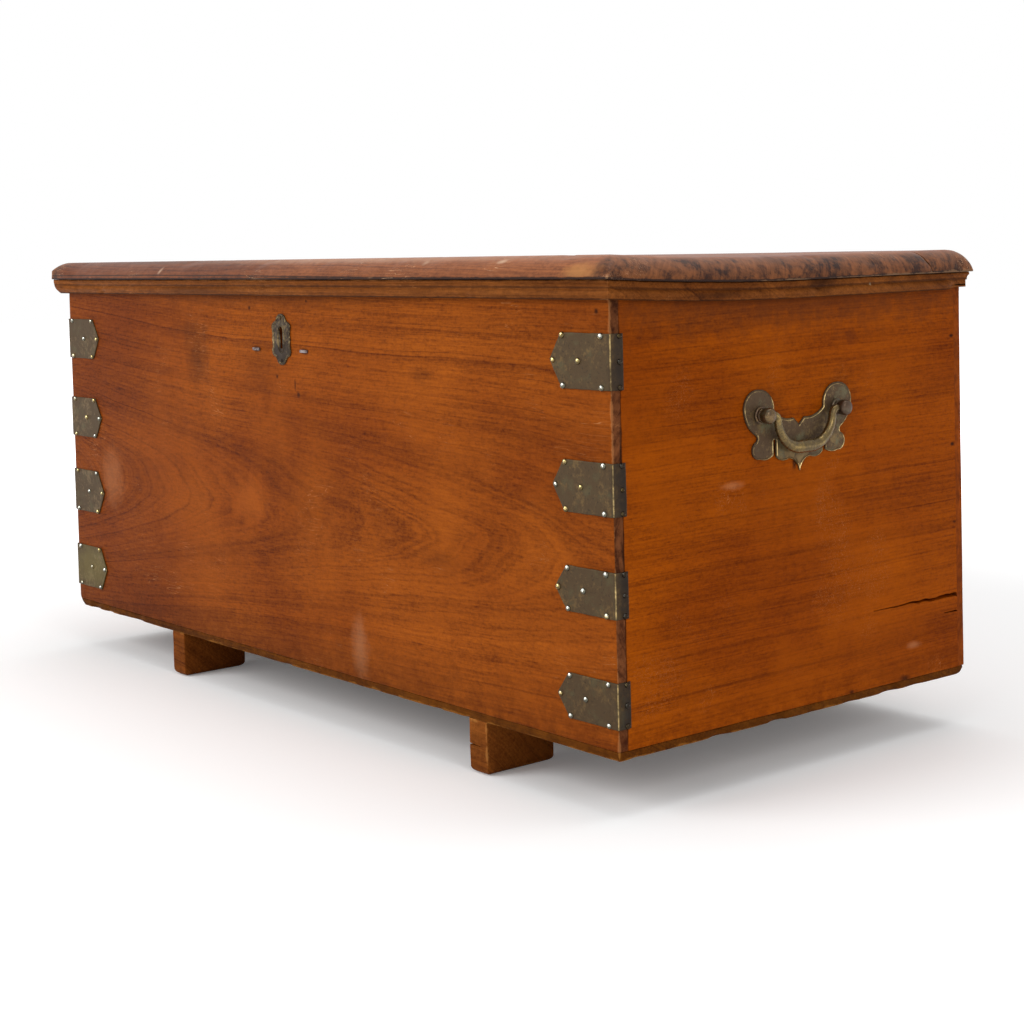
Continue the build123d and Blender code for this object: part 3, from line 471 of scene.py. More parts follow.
CASE_BOX = (-HALF_LENGTH, FRONT_Y, FOOT_Z), (HALF_LENGTH, BACK_Y, TOP_Z)
CASE_END = HALF_LENGTH - 0.0012
MOULDING_END = 0.566
# Near black for painted shade in the slits of the handle plates.
SLIT_SHADE = (20, 9, 5)
BRUISE = (206, 140, 96)
front_wood = wood_finish(
    "front_teak", *CASE_BOX, (176, 91, 22), (92, 38, 6), log=(-0.60, FRONT_Y, 0.238),
    ends=((126, 74, 42), (62, 30, 14), CASE_END, 0.0005, (0.0, -0.10, 0.25), 0.010),
    wear=0.0022, side_shade=((222, 216, 228), -0.05, -0.45), smudges=(
        on_front(-0.208, 0.414, 0.040, 0.050, 0.50),
        on_front(-0.225, 0.444, 0.060, 0.014, 0.34),
        # Painted shade: near black over the walls of the keyhole.
        ((KEY_X, FRONT_Y + 0.010, 0.4395), (0.0090, 0.0160, 0.026), 1.0, (10, 5, 3)),
        on_front(-0.0650, 0.4240, 0.0105, 0.0050, 0.85),
        on_front(0.0360, 0.4240, 0.0105, 0.0050, 0.85),
        on_front(-0.445, 0.243, 0.044, 0.055, 0.30, (196, 128, 84)),
        # Painted shadow: the top of the front darker under the lid's strip.
        on_front(-0.05, 0.484, 0.44, 0.020, 0.34),
        on_front(-0.043, 0.491, 0.035, 0.007, 0.8),
        on_front(0.043, 0.481, 0.0030, 0.0030, 0.8),
        on_front(-0.080, 0.472, 0.0034, 0.0034, 0.8),
        on_front(-0.023, 0.393, 0.0036, 0.0036, 0.9),
        on_front(0.015, 0.385, 0.0020, 0.009, 0.8),
        on_front(0.022, 0.374, 0.0050, 0.005, 0.8),
        on_front(0.537, 0.476, 0.0040, 0.004, 0.9),
        on_front(0.131, 0.097, 0.024, 0.050, 0.28, (206, 150, 110)),
        on_front(0.0, 0.070, 0.9, 0.055, 0.30),
        on_front(-0.093, 0.243, 0.060, 0.040, 0.30, (196, 104, 36)),
        on_front(-0.060, 0.410, 0.070, 0.060, 0.22),
        on_front(0.258, 0.406, 0.030, 0.012, 0.30),
        on_front(0.284, 0.214, 0.070, 0.014, 0.22),
        on_end(FRONT_Y + 0.0108, 0.345, 0.0028, 0.030, 0.95),
        on_end(FRONT_Y + 0.0108, 0.250, 0.0022, 0.016, 0.95)))
end_wood = wood_finish(
    "end_teak", *CASE_BOX, (180, 87, 3), (104, 42, 1), turn=-pi / 2, log=(-0.3, 0.555, -0.35),
    taper=-0.012, run=9.0, ring=0.0062, contrast=0.34, wavy=0.6, wear=0.0012, wear_show=0.2,
    smudges=(
        # Darker round the handle's posts: painted shadow of the handle, and grime.
        on_end(-0.045, 0.365, 0.040, 0.050, 0.34),
        on_end(0.066, 0.365, 0.040, 0.055, 0.34),
        on_end(0.083, 0.435, 0.016, 0.013, 0.42, (84, 34, 12)),
        # Painted shade: the top of the end darker under the lid's overhang.
        on_end(0.0, 0.482, 0.50, 0.055, 0.58, (62, 34, 22)),
        # Painted shade: the end seen through the plates' slits, made near black.
        on_end(HANDLE_Y - 0.0362, 0.331, 0.0045, 0.014, 1.0, SLIT_SHADE),
        on_end(HANDLE_Y + 0.0362, 0.331, 0.0045, 0.014, 1.0, SLIT_SHADE),
        # Painted shadow beside the pendant point of the handle plate.
        on_end(HANDLE_Y - 0.0058, 0.3130, 0.0050, 0.010, 0.9),
        on_end(HANDLE_Y + 0.0060, 0.3150, 0.0050, 0.008, 0.6),
        on_end(0.246, 0.428, 0.0055, 0.003, 0.95),
        on_end(0.246, 0.310, 0.0055, 0.003, 0.95),
        on_end(0.248, 0.225, 0.005, 0.0025, 0.8),
        on_end(-0.095, 0.299, 0.022, 0.006, 0.3, BRUISE),
        on_end(0.176, 0.100, 0.016, 0.006, 0.35, BRUISE),
        on_end(0.161, 0.066, 0.012, 0.006, 0.8),
        on_end(0.076, 0.066, 0.006, 0.004, 0.8),
        on_end(FRONT_Y + CORNER_LAP, 0.25, 0.0022, 0.50, 0.95)))
back_wood = wood_finish(
    "back_teak", *CASE_BOX, (150, 74, 24), (88, 40, 14), turn=pi, log=(-0.62, -BACK_Y, 0.30),
    ends=((158, 74, 14), (110, 48, 10), CASE_END, 0.0005, (0.0, 0.10, 0.25), 0.004),
    wear=0.0015, wear_show=0.2)
bottom_wood = wood_finish(
    "bottom_teak", *CASE_BOX, (124, 70, 14), (60, 28, 5), (186, 124, 56),
    log=(-0.8, 0.1, -0.16), taper=0.003, wear=0.002, gloss=0.55, specks=0.9)
lid_wood = wood_finish(
    "lid_teak", (-LID_HALF, NOSE_Y, TOP_Z), (LID_HALF, REAR_Y, 0.53), (166, 98, 54),
    (86, 42, 20), (208, 160, 118), log=(-0.7, -0.1, 0.30), taper=0.006, ring=0.006,
    gloss=0.40, foot_dirt=0.2, wear=0.002, wear_show=0.25, scratches=0.9, sheen=0.12,
    ends=((138, 82, 44), (40, 18, 8), LID_HALF - 0.030, 0.016, (0.0, -0.55, 0.95), 0.006),
    side_shade=((214, 206, 206), 0.10, -0.45), smudges=(
        on_front(0.530, 0.514, 0.035, 0.012, 0.40, (206, 146, 80), NOSE_Y),
        on_front(-0.273, 0.517, 0.005, 0.007, 0.45, (220, 186, 156), NOSE_Y),
        on_front(0.403, 0.523, 0.010, 0.003, 0.6, (226, 196, 166), NOSE_Y),
        on_front(0.277, 0.523, 0.007, 0.004, 0.5, (220, 186, 156), NOSE_Y),
        ((LID_HALF, NOSE_Y, 0.516), (0.005, 0.006, 0.020), 0.4, (220, 176, 132)),
        # Paler along the top near the front edge: dust and scuffs, and a painted highlight.
        on_front(0.15, 0.527, 0.50, 0.006, 0.24, (214, 176, 146), NOSE_Y + 0.02),
        on_front(-0.33, 0.527, 0.24, 0.006, 0.40, GRIME_AND_SHADE, NOSE_Y + 0.02)),
    # Dark lines just above the lid's underside, climbing at the left end: grime and painted shade
    # under the nose.
    lines=((0.0006, 0.0020, 0.95, 0.0), (0.0010, 0.0013, 0.85, 0.0040)))
moulding_wood = wood_finish(
    "moulding_teak", (-MOULDING_END, -0.2611, 0.4785), (MOULDING_END, REAR_Y, 0.506),
    (158, 92, 38), (74, 36, 12), log=(-0.9, -0.2, 0.30), taper=0.002, ring=0.004,
    wear=0.0012, foot_dirt=0.3, specks=0.8, smudges=(
        ((MOULDING_END, 0.030, 0.492), (0.02, 0.030, 0.012), 0.8, GRIME_AND_SHADE),
        ((MOULDING_END, -0.120, 0.486), (0.02, 0.060, 0.006), 0.6, GRIME_AND_SHADE),
        ((-0.20, -0.262, 0.492), (0.14, 0.02, 0.010), 0.5, GRIME_AND_SHADE),
        ((MOULDING_END, 0.105, 0.489), (0.02, 0.0022, 0.0022), 0.9, (220, 190, 150))),
    # Dark lines at the gap under the lid, in the hollow above the bead and along the strip's
    # bottom: the gap a dark joint, the others painted shade.
    lines=((0.0, 0.0016, 0.95, 0.0), (-0.0075, 0.0018, 0.6, 0.0), (-0.0185, 0.0016, 0.8, 0.0)))
foot_wood = wood_finish(
    "foot_wood", (-0.3, FRONT_Y, 0.0), (0.353, BACK_Y, FOOT_Z), (168, 98, 38), (86, 42, 12),
    (206, 142, 74), log=(-0.7, 0.0, -0.05), taper=0.01, ring=0.004, gloss=0.6)

DARK_RETURN = ((HALF_LENGTH + 0.004, FRONT_Y + 0.012, 0.28), (0.011, 0.024, 1.2), 0.9,
               (30, 19, 12))
GREEN_STRAP = on_front(-0.51, 0.113, 0.10, 0.045, 0.5, (118, 104, 52))


def brass_finish(name, metal, skin, bloom, skin_amount, bloom_amount, bright=0.0, depth=0.0003,
                 smudges=(), silvered=None, polish=1.0):
    """Brass under its patina."""
    made = Finish(name)
    patina = made.group(PATINA, Metal_Colour=srgb(*metal), Skin_Colour=srgb(*skin),
                        Bloom_Colour=srgb(*bloom), Skin=skin_amount, Bloom=bloom_amount,
                        Bright=bright)
    colour = patina["Colour"]
    if silvered is not None:
        lot = made.position.noise(33.0, 0.0)
        colour = made.mix(lot.step(0.40, 0.52), colour, srgb(*silvered))
    return made.finish(made.smudged(colour, smudges), patina["Rough"] * polish,
                       patina["Metal"], patina["Height"], depth, 0.6)


sheet_brass = brass_finish("strap_brass", (116, 92, 54), (76, 58, 35), (84, 80, 44), 1.0, 0.40,
                           smudges=(DARK_RETURN, GREEN_STRAP))
cast_brass = brass_finish("bail_brass", (136, 114, 70), (92, 75, 45), (92, 90, 58), 0.62, 0.20,
                          polish=0.42)
post_brass = brass_finish("post_brass", (120, 98, 64), (76, 57, 42), (84, 84, 60), 0.86, 0.60,
                          depth=0.0004, polish=0.50)
plate_brass = brass_finish("backplate_brass", (130, 108, 68), (82, 62, 42), (106, 102, 70),
                           0.94, 0.75, depth=0.0006)
# Brighter brass for rim faces: a painted highlight.
rim_highlight_brass = brass_finish("rim_highlight_finish", (206, 178, 122), (96, 78, 50), (80, 74, 46),
                         0.46, 0.25, smudges=(DARK_RETURN,))
chased_brass = brass_finish("escutcheon_brass", (132, 110, 76), (50, 38, 28), (92, 80, 60),
                            0.94, 0.45, depth=0.0008)
# Brighter brass for the escutcheon's sloping rim: a painted highlight.
chased_highlight_brass = brass_finish("escutcheon_highlight_finish", (164, 142, 98), (64, 50, 34),
                                (74, 66, 40), 0.70, 0.25, depth=0.0006)
nail_brass = brass_finish("nail_brass", (124, 106, 64), (74, 62, 40), (84, 86, 66), 0.40, 0.2,
                          bright=0.4, silvered=(96, 94, 82), smudges=(DARK_RETURN,),
                          polish=0.24)
# Bright brass for the nail faces that face the front lamp: a painted highlight.
nail_highlight_finish = brass_finish("nail_highlight_brass", (240, 216, 146), (196, 168, 110),
                          (180, 176, 140), 0.20, 0.1, silvered=(224, 224, 212),
                          smudges=(DARK_RETURN,), polish=0.24)
# Gold for the nail faces turned down and left: a painted reflection.
nail_reflection_finish = brass_finish("nail_reflection_brass", (226, 186, 98), (150, 112, 52), (120, 104, 60),
                         0.30, 0.1, polish=0.6, smudges=(DARK_RETURN,))
hinge_brass = brass_finish("hinge_brass", (150, 120, 72), (92, 72, 44), (90, 92, 60), 0.7, 0.2)
dark_iron = brass_finish("lock_iron", (150, 138, 136), (86, 70, 66), (96, 62, 44), 0.55, 0.35,
                         polish=0.8)

CARRIED = {
    "front_board": front_wood, "back_board": back_wood, "end_board_left": end_wood,
    "end_board_right": end_wood, "bottom_board": bottom_wood, "lid_board": lid_wood,
    "lid_moulding": moulding_wood, "foot_nails": dark_iron, "foot": foot_wood,
    "corner_strap": sheet_brass, "strap_nails": nail_brass, "escutcheon_pins": nail_brass,
    "escutcheon": chased_brass, "lock": dark_iron, "handle_nuts": dark_iron,
    "handle_backplate": plate_brass, "handle": post_brass, "bail": cast_brass,
    "hinge": hinge_brass, "lid_staple": hinge_brass,
}
for node_name, node in nodes.items():
    prefix = next(prefix for prefix in CARRIED if node_name.startswith(prefix))
    node.data.materials.clear()
    node.data.materials.append(CARRIED[prefix])


# ------------------------------------------------------------------ mesh helpers
def wander(points, scale, seed=0.0):
    """Smooth random value, about -1 to 1, at each point."""
    stretched = np.asarray(points) * np.asarray(scale) + np.array((7.3, 3.1, 5.7)) * seed
    return np.array([noise.noise(Vector(p)) for p in stretched])


def shake(x, y, z):
    """Smooth random number, about -1 to 1, that belongs to a place."""
    return noise.noise(Vector((x, y, z)))


def ease(value, low, high):
    """Smooth step from 0 at low to 1 at high."""
    part = np.clip((value - low) / (high - low), 0.0, 1.0)
    return part * part * (3.0 - 2.0 * part)


def cuts(low, high, pitch, marks=(), ends=(0.0006, 0.0014, 0.0026, 0.0045)):
    """Where a board is cut into cells: evenly, closer at both ends, and at the marks."""
    fixed = sorted({low, high, *marks, *(low + e for e in ends), *(high - e for e in ends)})
    even = np.linspace(low, high, max(2, ceil((high - low) / pitch)) + 1)
    kept = [v for v in even if min(abs(v - f) for f in fixed) > 0.25 * pitch]
    return np.array(sorted(fixed + kept))


def block_skin(grid_cuts, hollow=None):
    """Points and outward quads of a block of cells, less the cells that hollow(x, y, z) names."""
    middles = [(c[1:] + c[:-1]) / 2 for c in grid_cuts]
    keep = np.ones([len(m) for m in middles], bool)
    if hollow is not None:
        keep &= ~hollow(*np.meshgrid(*middles, indexing="ij"))
    padded = np.pad(keep, 1)
    strides = np.array([len(grid_cuts[1]) * len(grid_cuts[2]), len(grid_cuts[2]), 1])
    quads = []
    for axis in range(3):
        second, third = strides[(axis + 1) % 3], strides[(axis + 2) % 3]
        for toward in (1, -1):
            beyond = np.roll(padded, -toward, axis)[1:-1, 1:-1, 1:-1]
            cells = np.argwhere(keep & ~beyond)
            if toward > 0:
                cells[:, axis] += 1
            base = cells @ strides
            corners = [base, base + second, base + second + third, base + third]
            quads.append(np.stack(corners[::toward], 1))
    used, faces = np.unique(np.concatenate(quads), return_inverse=True)
    lattice = np.stack(np.meshgrid(*grid_cuts, indexing="ij"), -1).reshape(-1, 3)
    return lattice[used], faces.reshape(-1, 4)


def round_over(points, low, high, radius):
    """Round the arrises of a box-shaped board; the radius may differ from point to point."""
    radius = np.asarray(radius, float).reshape(-1, 1) * np.ones((len(points), 1))
    core = np.clip(points, np.array(low) + radius, np.array(high) - radius)
    away = points - core
    length = np.linalg.norm(away, axis=1, keepdims=True)
    rounded = core + away * (radius / np.maximum(length, 1e-9))
    return np.where(length > radius, rounded, points)


def knock_corners(points):
    """The four lower corners of the case as years of moving have left them."""
    for side_x, side_y, wear in ((-1, -1, 0.020), (1, -1, 0.005), (-1, 1, 0.018), (1, 1, 0.017)):
        corner_y = FRONT_Y if side_y < 0 else BACK_Y
        corner = np.array((side_x * HALF_LENGTH, corner_y, FOOT_Z))
        middle = corner + np.array((-side_x, -side_y, 1)) * wear
        away = points - middle
        length = np.linalg.norm(away, axis=1, keepdims=True)
        outside = (away * np.array((side_x, side_y, -1)) > 0).all(1, keepdims=True)
        ball = wear * sqrt(2)
        points = np.where(outside & (length > ball), middle + away * ball / length, points)
    return points


def settle(piece, node, body):
    """Let a piece take a node's place on its body."""
    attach(piece, body)
    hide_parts(node)
    return piece


def add_piece(node, work_done, points, faces, material, body="case", smooth=40.0,
              outward=False):
    """Make the worked piece that stands for a node, and give it its finish."""
    name = f"{node}_{work_done}"
    mesh = bpy.data.meshes.new(name)
    mesh.from_pydata(np.asarray(points).tolist(), [], [list(map(int, f)) for f in faces])
    if outward:
        work = bmesh.new()
        work.from_mesh(mesh)
        bmesh.ops.remove_doubles(work, verts=work.verts, dist=1e-7)
        bmesh.ops.recalc_face_normals(work, faces=work.faces)
        work.to_mesh(mesh)
        work.free()
    mesh.validate()
    mesh.polygons.foreach_set("use_smooth", [True] * len(mesh.polygons))
    mesh.set_sharp_from_angle(angle=radians(smooth))
    mesh.materials.append(material)
    made = bpy.data.objects.new(name, mesh)
    scene.collection.objects.link(made)
    return settle(made, node, body)


def brighten_rim(piece, facing, brass, along=(0.0, 0.0, 0.0), toward=None):
    """Give the sloping faces of a plate's rim a brighter brass, a painted highlight; with toward,
    only the faces turned that way.
    """
    piece.data.materials.append(brass)
    for face in piece.data.polygons:
        # Painted highlight: the sloping rim faces that get the brighter brass.
        rubbed = abs(face.normal.dot(Vector(along))) < 0.2
        if toward is not None:
            rubbed = face.normal.dot(Vector(toward)) > 0.15
        face.material_index = int(rubbed and 0.35 < abs(face.normal[facing]) < 0.9)


def arc_through(start, middle, end, count):
    """Points of the arc from start through middle to end, without start."""
    a, b, c = (complex(*p) for p in (start, middle, end))
    turn = (c - a) / (b - a)
    centre = (b - a) * (turn - abs(turn) ** 2) / (2j * turn.imag) + a
    first, second, third = (atan2((p - centre).imag, (p - centre).real) for p in (a, b, c))
    sweep = (third - first) % (2 * pi)
    if (second - first) % (2 * pi) > sweep:
        sweep -= 2 * pi
    radius = abs(a - centre)
    return [(centre.real + radius * cos(first + sweep * i / count),
             centre.imag + radius * sin(first + sweep * i / count))
            for i in range(1, count + 1)]


def loop_skin(loops, tip=None, ring=False):
    """Quads between closed loops of equal length: a ring, or capped and perhaps with a tip."""
    count = len(loops[0])
    points = np.concatenate(loops)
    last = (len(loops) - 1) * count
    starts = [(low, low + count) for low in range(0, last, count)] + [(last, 0)] * ring
    faces = [(low + i, low + (i + 1) % count, high + (i + 1) % count, high + i)
             for low, high in starts for i in range(count)]
    if not ring:
        faces.append(tuple(reversed(range(count))))
    if tip is not None:
        faces += [(last + i, last + (i + 1) % count, len(points)) for i in range(count)]
        points = np.vstack([points, tip])
    elif not ring:
        faces.append(tuple(range(last, last + count)))
    return points, faces


# ------------------------------------------------------------------ case boards
HINGE_XS = (-0.4, 0.0, 0.4)
HINGE_HALF = 0.0379
LEAF_FRONT_Y = 0.2439
LEAF_SEAT = 0.002
POCKET_Y = 0.2578
POCKET_DEPTH = 0.0046
HINGE_MARKS = [x + side * HINGE_HALF for x in HINGE_XS for side in (-1, 1)]
KEY_EYE_HALF = 0.0044
KEY_SLOT_HALF = 0.0028
KEY_SLOT_DROP = 0.0209
INNER_END = HALF_LENGTH - END_THICK


def in_hinge(x, y, depth):
    """Cells chopped out for a leaf and its knuckles, depth measured from the seam."""
    near = np.logical_or.reduce([abs(x - hinge_x) < HINGE_HALF for hinge_x in HINGE_XS])
    return near & (((y > LEAF_FRONT_Y) & (depth < LEAF_SEAT))
                   | ((y > POCKET_Y) & (depth < POCKET_DEPTH)))


def front_hollow(x, y, z):
    rebate = (abs(x) > INNER_END) & (y > FRONT_Y + CORNER_LAP)
    eye = (abs(x - KEY_X) < KEY_EYE_HALF) & (abs(z - KEY_EYE_Z) < KEY_EYE_HALF)
    slot = (abs(x - KEY_X) < KEY_SLOT_HALF) & (z < KEY_EYE_Z) & (z > KEY_EYE_Z - KEY_SLOT_DROP)
    return rebate | eye | slot


def scraped(out, points, start, end, seed):
    """How far points are scraped back that lie out between start and end."""
    return ease(out, start, end) * (0.0003 + 0.0003 * wander(points, (3.5, 3.5, 6), seed))


def end_hollow(points):
    """How far the ends of the case have been scraped back, alike on every board that meets."""
    return scraped(abs(points[:, 0]), points, HALF_LENGTH - 0.008, HALF_LENGTH, 8)


def add_long_board(name, points, faces, side, face_y, seed, material):
    """Scrape the outer face and both ends of the front or back board, and add it."""
    points[:, 1] -= side * scraped(points[:, 1], points, face_y - side * 0.008, face_y, seed)
    points[:, 0] -= np.sign(points[:, 0]) * end_hollow(points)
    add_piece(name, "planed", knock_corners(points), faces, material)


def make_front_board():
    low = (-HALF_LENGTH, FRONT_Y, BOARD_Z)
    high = (HALF_LENGTH, FRONT_Y + BOARD_THICK, TOP_Z)
    key_sides = [KEY_X + side * half for half in (KEY_EYE_HALF, KEY_SLOT_HALF)
                 for side in (-1, 1)]
    points, faces = block_skin([
        cuts(low[0], high[0], 0.0065, [-INNER_END, INNER_END, *key_sides]),
        cuts(low[1], high[1], 0.005, [FRONT_Y + CORNER_LAP]),
        cuts(low[2], high[2], 0.0065, [KEY_EYE_Z - KEY_SLOT_DROP, KEY_EYE_Z - KEY_EYE_HALF,
                                       KEY_EYE_Z + KEY_EYE_HALF]),
    ], front_hollow)
    worn = 0.0011 + 0.0006 * wander(points, 18, 1) + 0.0012 * np.maximum(
        0, wander(points, 45, 2) - 0.15)
    points = round_over(points, low, high, np.clip(worn, 0.0004, 0.003))
    add_long_board("front_board", points, faces, -1, FRONT_Y, 3, front_wood)


def make_back_board():
    low = (-HALF_LENGTH, BACK_Y - BOARD_THICK, BOARD_Z)
    high = (HALF_LENGTH, BACK_Y, TOP_Z)
    points, faces = block_skin([
        cuts(low[0], high[0], 0.009, [-INNER_END, INNER_END, *HINGE_MARKS]),
        cuts(low[1], high[1], 0.005, [BACK_Y - CORNER_LAP, LEAF_FRONT_Y, POCKET_Y]),
        cuts(low[2], high[2], 0.009, [TOP_Z - LEAF_SEAT, TOP_Z - POCKET_DEPTH]),
    ], lambda x, y, z: ((abs(x) > INNER_END) & (y < BACK_Y - CORNER_LAP))
        | in_hinge(x, y, TOP_Z - z))
    worn = np.clip(0.0013 + 0.0009 * wander(points, 18, 4), 0.0004, 0.003)
    away_from_seam = ease(TOP_Z - points[:, 2], 0.0, 0.006)
    points = round_over(points, low, high, worn * (0.3 + 0.7 * away_from_seam))
    add_long_board("back_board", points, faces, 1, BACK_Y, 5, back_wood)


SPLITS = (
    # height, where it starts, how wide it opens at the rear edge, how far it wanders
    (0.1455, 0.112, 0.0034, 0.0030),
    (0.1270, 0.228, 0.0012, 0.0008),
)


def make_end_board(side, name, splits):
    inside, outside = sorted((side * HALF_LENGTH, side * INNER_END))
    low = (inside, FRONT_Y + CORNER_LAP, BOARD_Z)
    high = (outside, BACK_Y - CORNER_LAP, TOP_Z)
    half_split = 0.0004
    split_depth = 0.013
    marks = [z + up * half_split for z, *_ in splits for up in (-1, 1)]
    points, faces = block_skin([
        cuts(low[0], high[0], 0.006, [side * (HALF_LENGTH - split_depth)] if splits else ()),
        cuts(low[1], high[1], 0.006, [start for _, start, *_ in splits]),
        cuts(low[2], high[2], 0.0065, marks),
    ], lambda x, y, z: np.logical_or.reduce([np.zeros(x.shape, bool)] + [
        (abs(z - split_z) < half_split) & (y > start)
        & (side * x > HALF_LENGTH - split_depth) for split_z, start, *_ in splits]))
    for split_z, start, gape, sway in splits:
        along = ease(points[:, 1], start - 0.004, high[1])
        near = np.exp(-((points[:, 2] - split_z) / 0.012) ** 2)
        jag = wander(points * (0, 1, 0), 60, split_z) + 0.6 * wander(points * (0, 1, 0), 190, 2)
        shift = near * sway * along * jag
        upper = points[:, 2] > split_z
        lip = near * along * gape * (1 + 0.5 * wander(points * (0, 1, 0), 120, 7 + upper[0]))
        in_face = ease(side * points[:, 0], HALF_LENGTH - split_depth, HALF_LENGTH)
        points[:, 2] += shift + np.where(upper, 0.35, -0.65) * lip * (0.3 + 0.7 * in_face)
    worn = np.clip(0.0007 + 0.0005 * wander(points, 25, 6 + side), 0.0002, 0.002)
    at_rear = ease(points[:, 1], BACK_Y - 0.06, BACK_Y - 0.03)
    points = round_over(points, low, high, worn * (1.0 - 0.8 * at_rear))
    points[:, 0] -= side * end_hollow(points)
    add_piece(name, "planed", knock_corners(points), faces, end_wood)


def make_bottom_board():
    low = (-HALF_LENGTH, FRONT_Y, FOOT_Z)
    high = (HALF_LENGTH, BACK_Y, BOARD_Z)
    points, faces = block_skin([cuts(low[0], high[0], 0.0065), cuts(low[1], high[1], 0.0065),
                                cuts(low[2], high[2], 0.004, (), (0.0007, 0.0018))])
    chipped = np.maximum(0, wander(points, (38, 38, 0), 9) - 0.2) * 0.008
    worn = np.clip(0.0012 + 0.0008 * wander(points, 60, 10) + chipped, 0.0005, 0.0042)
    points = round_over(points, low, high, worn)
    inset = 0.0006 + 0.0006 * wander(points, (9, 9, 0), 11) + 0.5 * chipped
    for axis, middle in ((0, 0.0), (1, MIDDLE_Y)):
        half = high[axis] - middle
        edge = ease(abs(points[:, axis] - middle), half - 0.012, half)
        points[:, axis] -= np.sign(points[:, axis] - middle) * edge * inset
    add_piece("bottom_board", "planed", knock_corners(points), faces, bottom_wood)


def make_foot(name, middle_x, middle_y, seed, split=False):
    """Block foot, its lower arrises worn round, the end grain weathered."""
    half_x, half_y, wear = 0.015, 0.0445, 0.008
    low = (middle_x - half_x, middle_y - half_y, 0.0)
    high = (middle_x + half_x, middle_y + half_y, FOOT_Z)
    split_z = 0.029
    points, faces = block_skin([
        cuts(low[0], high[0], 0.003, [middle_x + 0.004]),
        cuts(low[1], high[1], 0.004, [low[1] + 0.014]),
        cuts(low[2], high[2], 0.003, [split_z - 0.0003, split_z + 0.0003],
             (0.0003, 0.001, 0.002, 0.0035, 0.0055)),
    ], lambda x, y, z: np.full(x.shape, split) & (abs(z - split_z) < 0.0003)
        & (y < low[1] + 0.014) & (x < middle_x + 0.004))
    height = np.clip(points[:, 2], 0.0, wear)
    inset = wear - np.sqrt(wear ** 2 - (wear - height) ** 2)
    points[:, 0] = middle_x + (points[:, 0] - middle_x) * (half_x - inset) / half_x
    points[:, 1] = middle_y + (points[:, 1] - middle_y) * (half_y - inset) / half_y
    if split:
        near = np.exp(-((points[:, 2] - split_z) / 0.004) ** 2)
        opening = ease(points[:, 0], middle_x + 0.008, low[0])
        jag = wander(points * (1, 0, 0), 260, seed)
        points[:, 2] += near * opening * (np.where(points[:, 2] > split_z, 0.0005, -0.0007)
                                          + 0.0012 * jag)
    rough = wander(points, (90, 90, 40), seed)
    worn = np.clip(0.0012 + 0.001 * wander(points, 60, seed + 1), 0.0004, 0.003)
    points = round_over(points, (low[0], low[1], -1.0), (high[0], high[1], 1.0), worn)
    points[:, 0] -= np.sign(points[:, 0] - middle_x) * 0.0003 * (1 + rough)
    points[:, 1] -= np.sign(points[:, 1] - middle_y) * 0.0004 * (1 + rough)
    add_piece(name, "worn", points, faces, foot_wood)


make_front_board()
make_back_board()
make_end_board(-1, "end_board_left", ())
make_end_board(1, "end_board_right", SPLITS)
make_bottom_board()
make_foot("foot_front_left", -0.2835, FRONT_Y + 0.046, 20)
make_foot("foot_front_right", 0.338, FRONT_Y + 0.046, 22, split=True)
make_foot("foot_rear_left", -0.2835, BACK_Y - 0.046, 24)
make_foot("foot_rear_right", 0.338, BACK_Y - 0.046, 26)


# ------------------------------------------------------------------ lid
def underside_z(y):
    """Height of the cupped underside of the lid at y."""
    ahead = np.maximum(0.0, MIDDLE_Y - np.asarray(y, float))
    return TOP_Z + CUP_RADIUS - np.sqrt(CUP_RADIUS ** 2 - ahead ** 2)


def nose_top(edge):
    """Height of the lid's upper face over its underside, this far in from a nosed edge."""
    left = np.maximum(0.0, NOSE_RUN - edge)
    return LID_THICK - NOSE_RADIUS + np.sqrt(NOSE_RADIUS ** 2 - left ** 2)


LID_SPLIT_Y = 0.197
LID_CREST_Z = 0.5281
BLUNT_END = 2.3
END_LIP = 0.0070


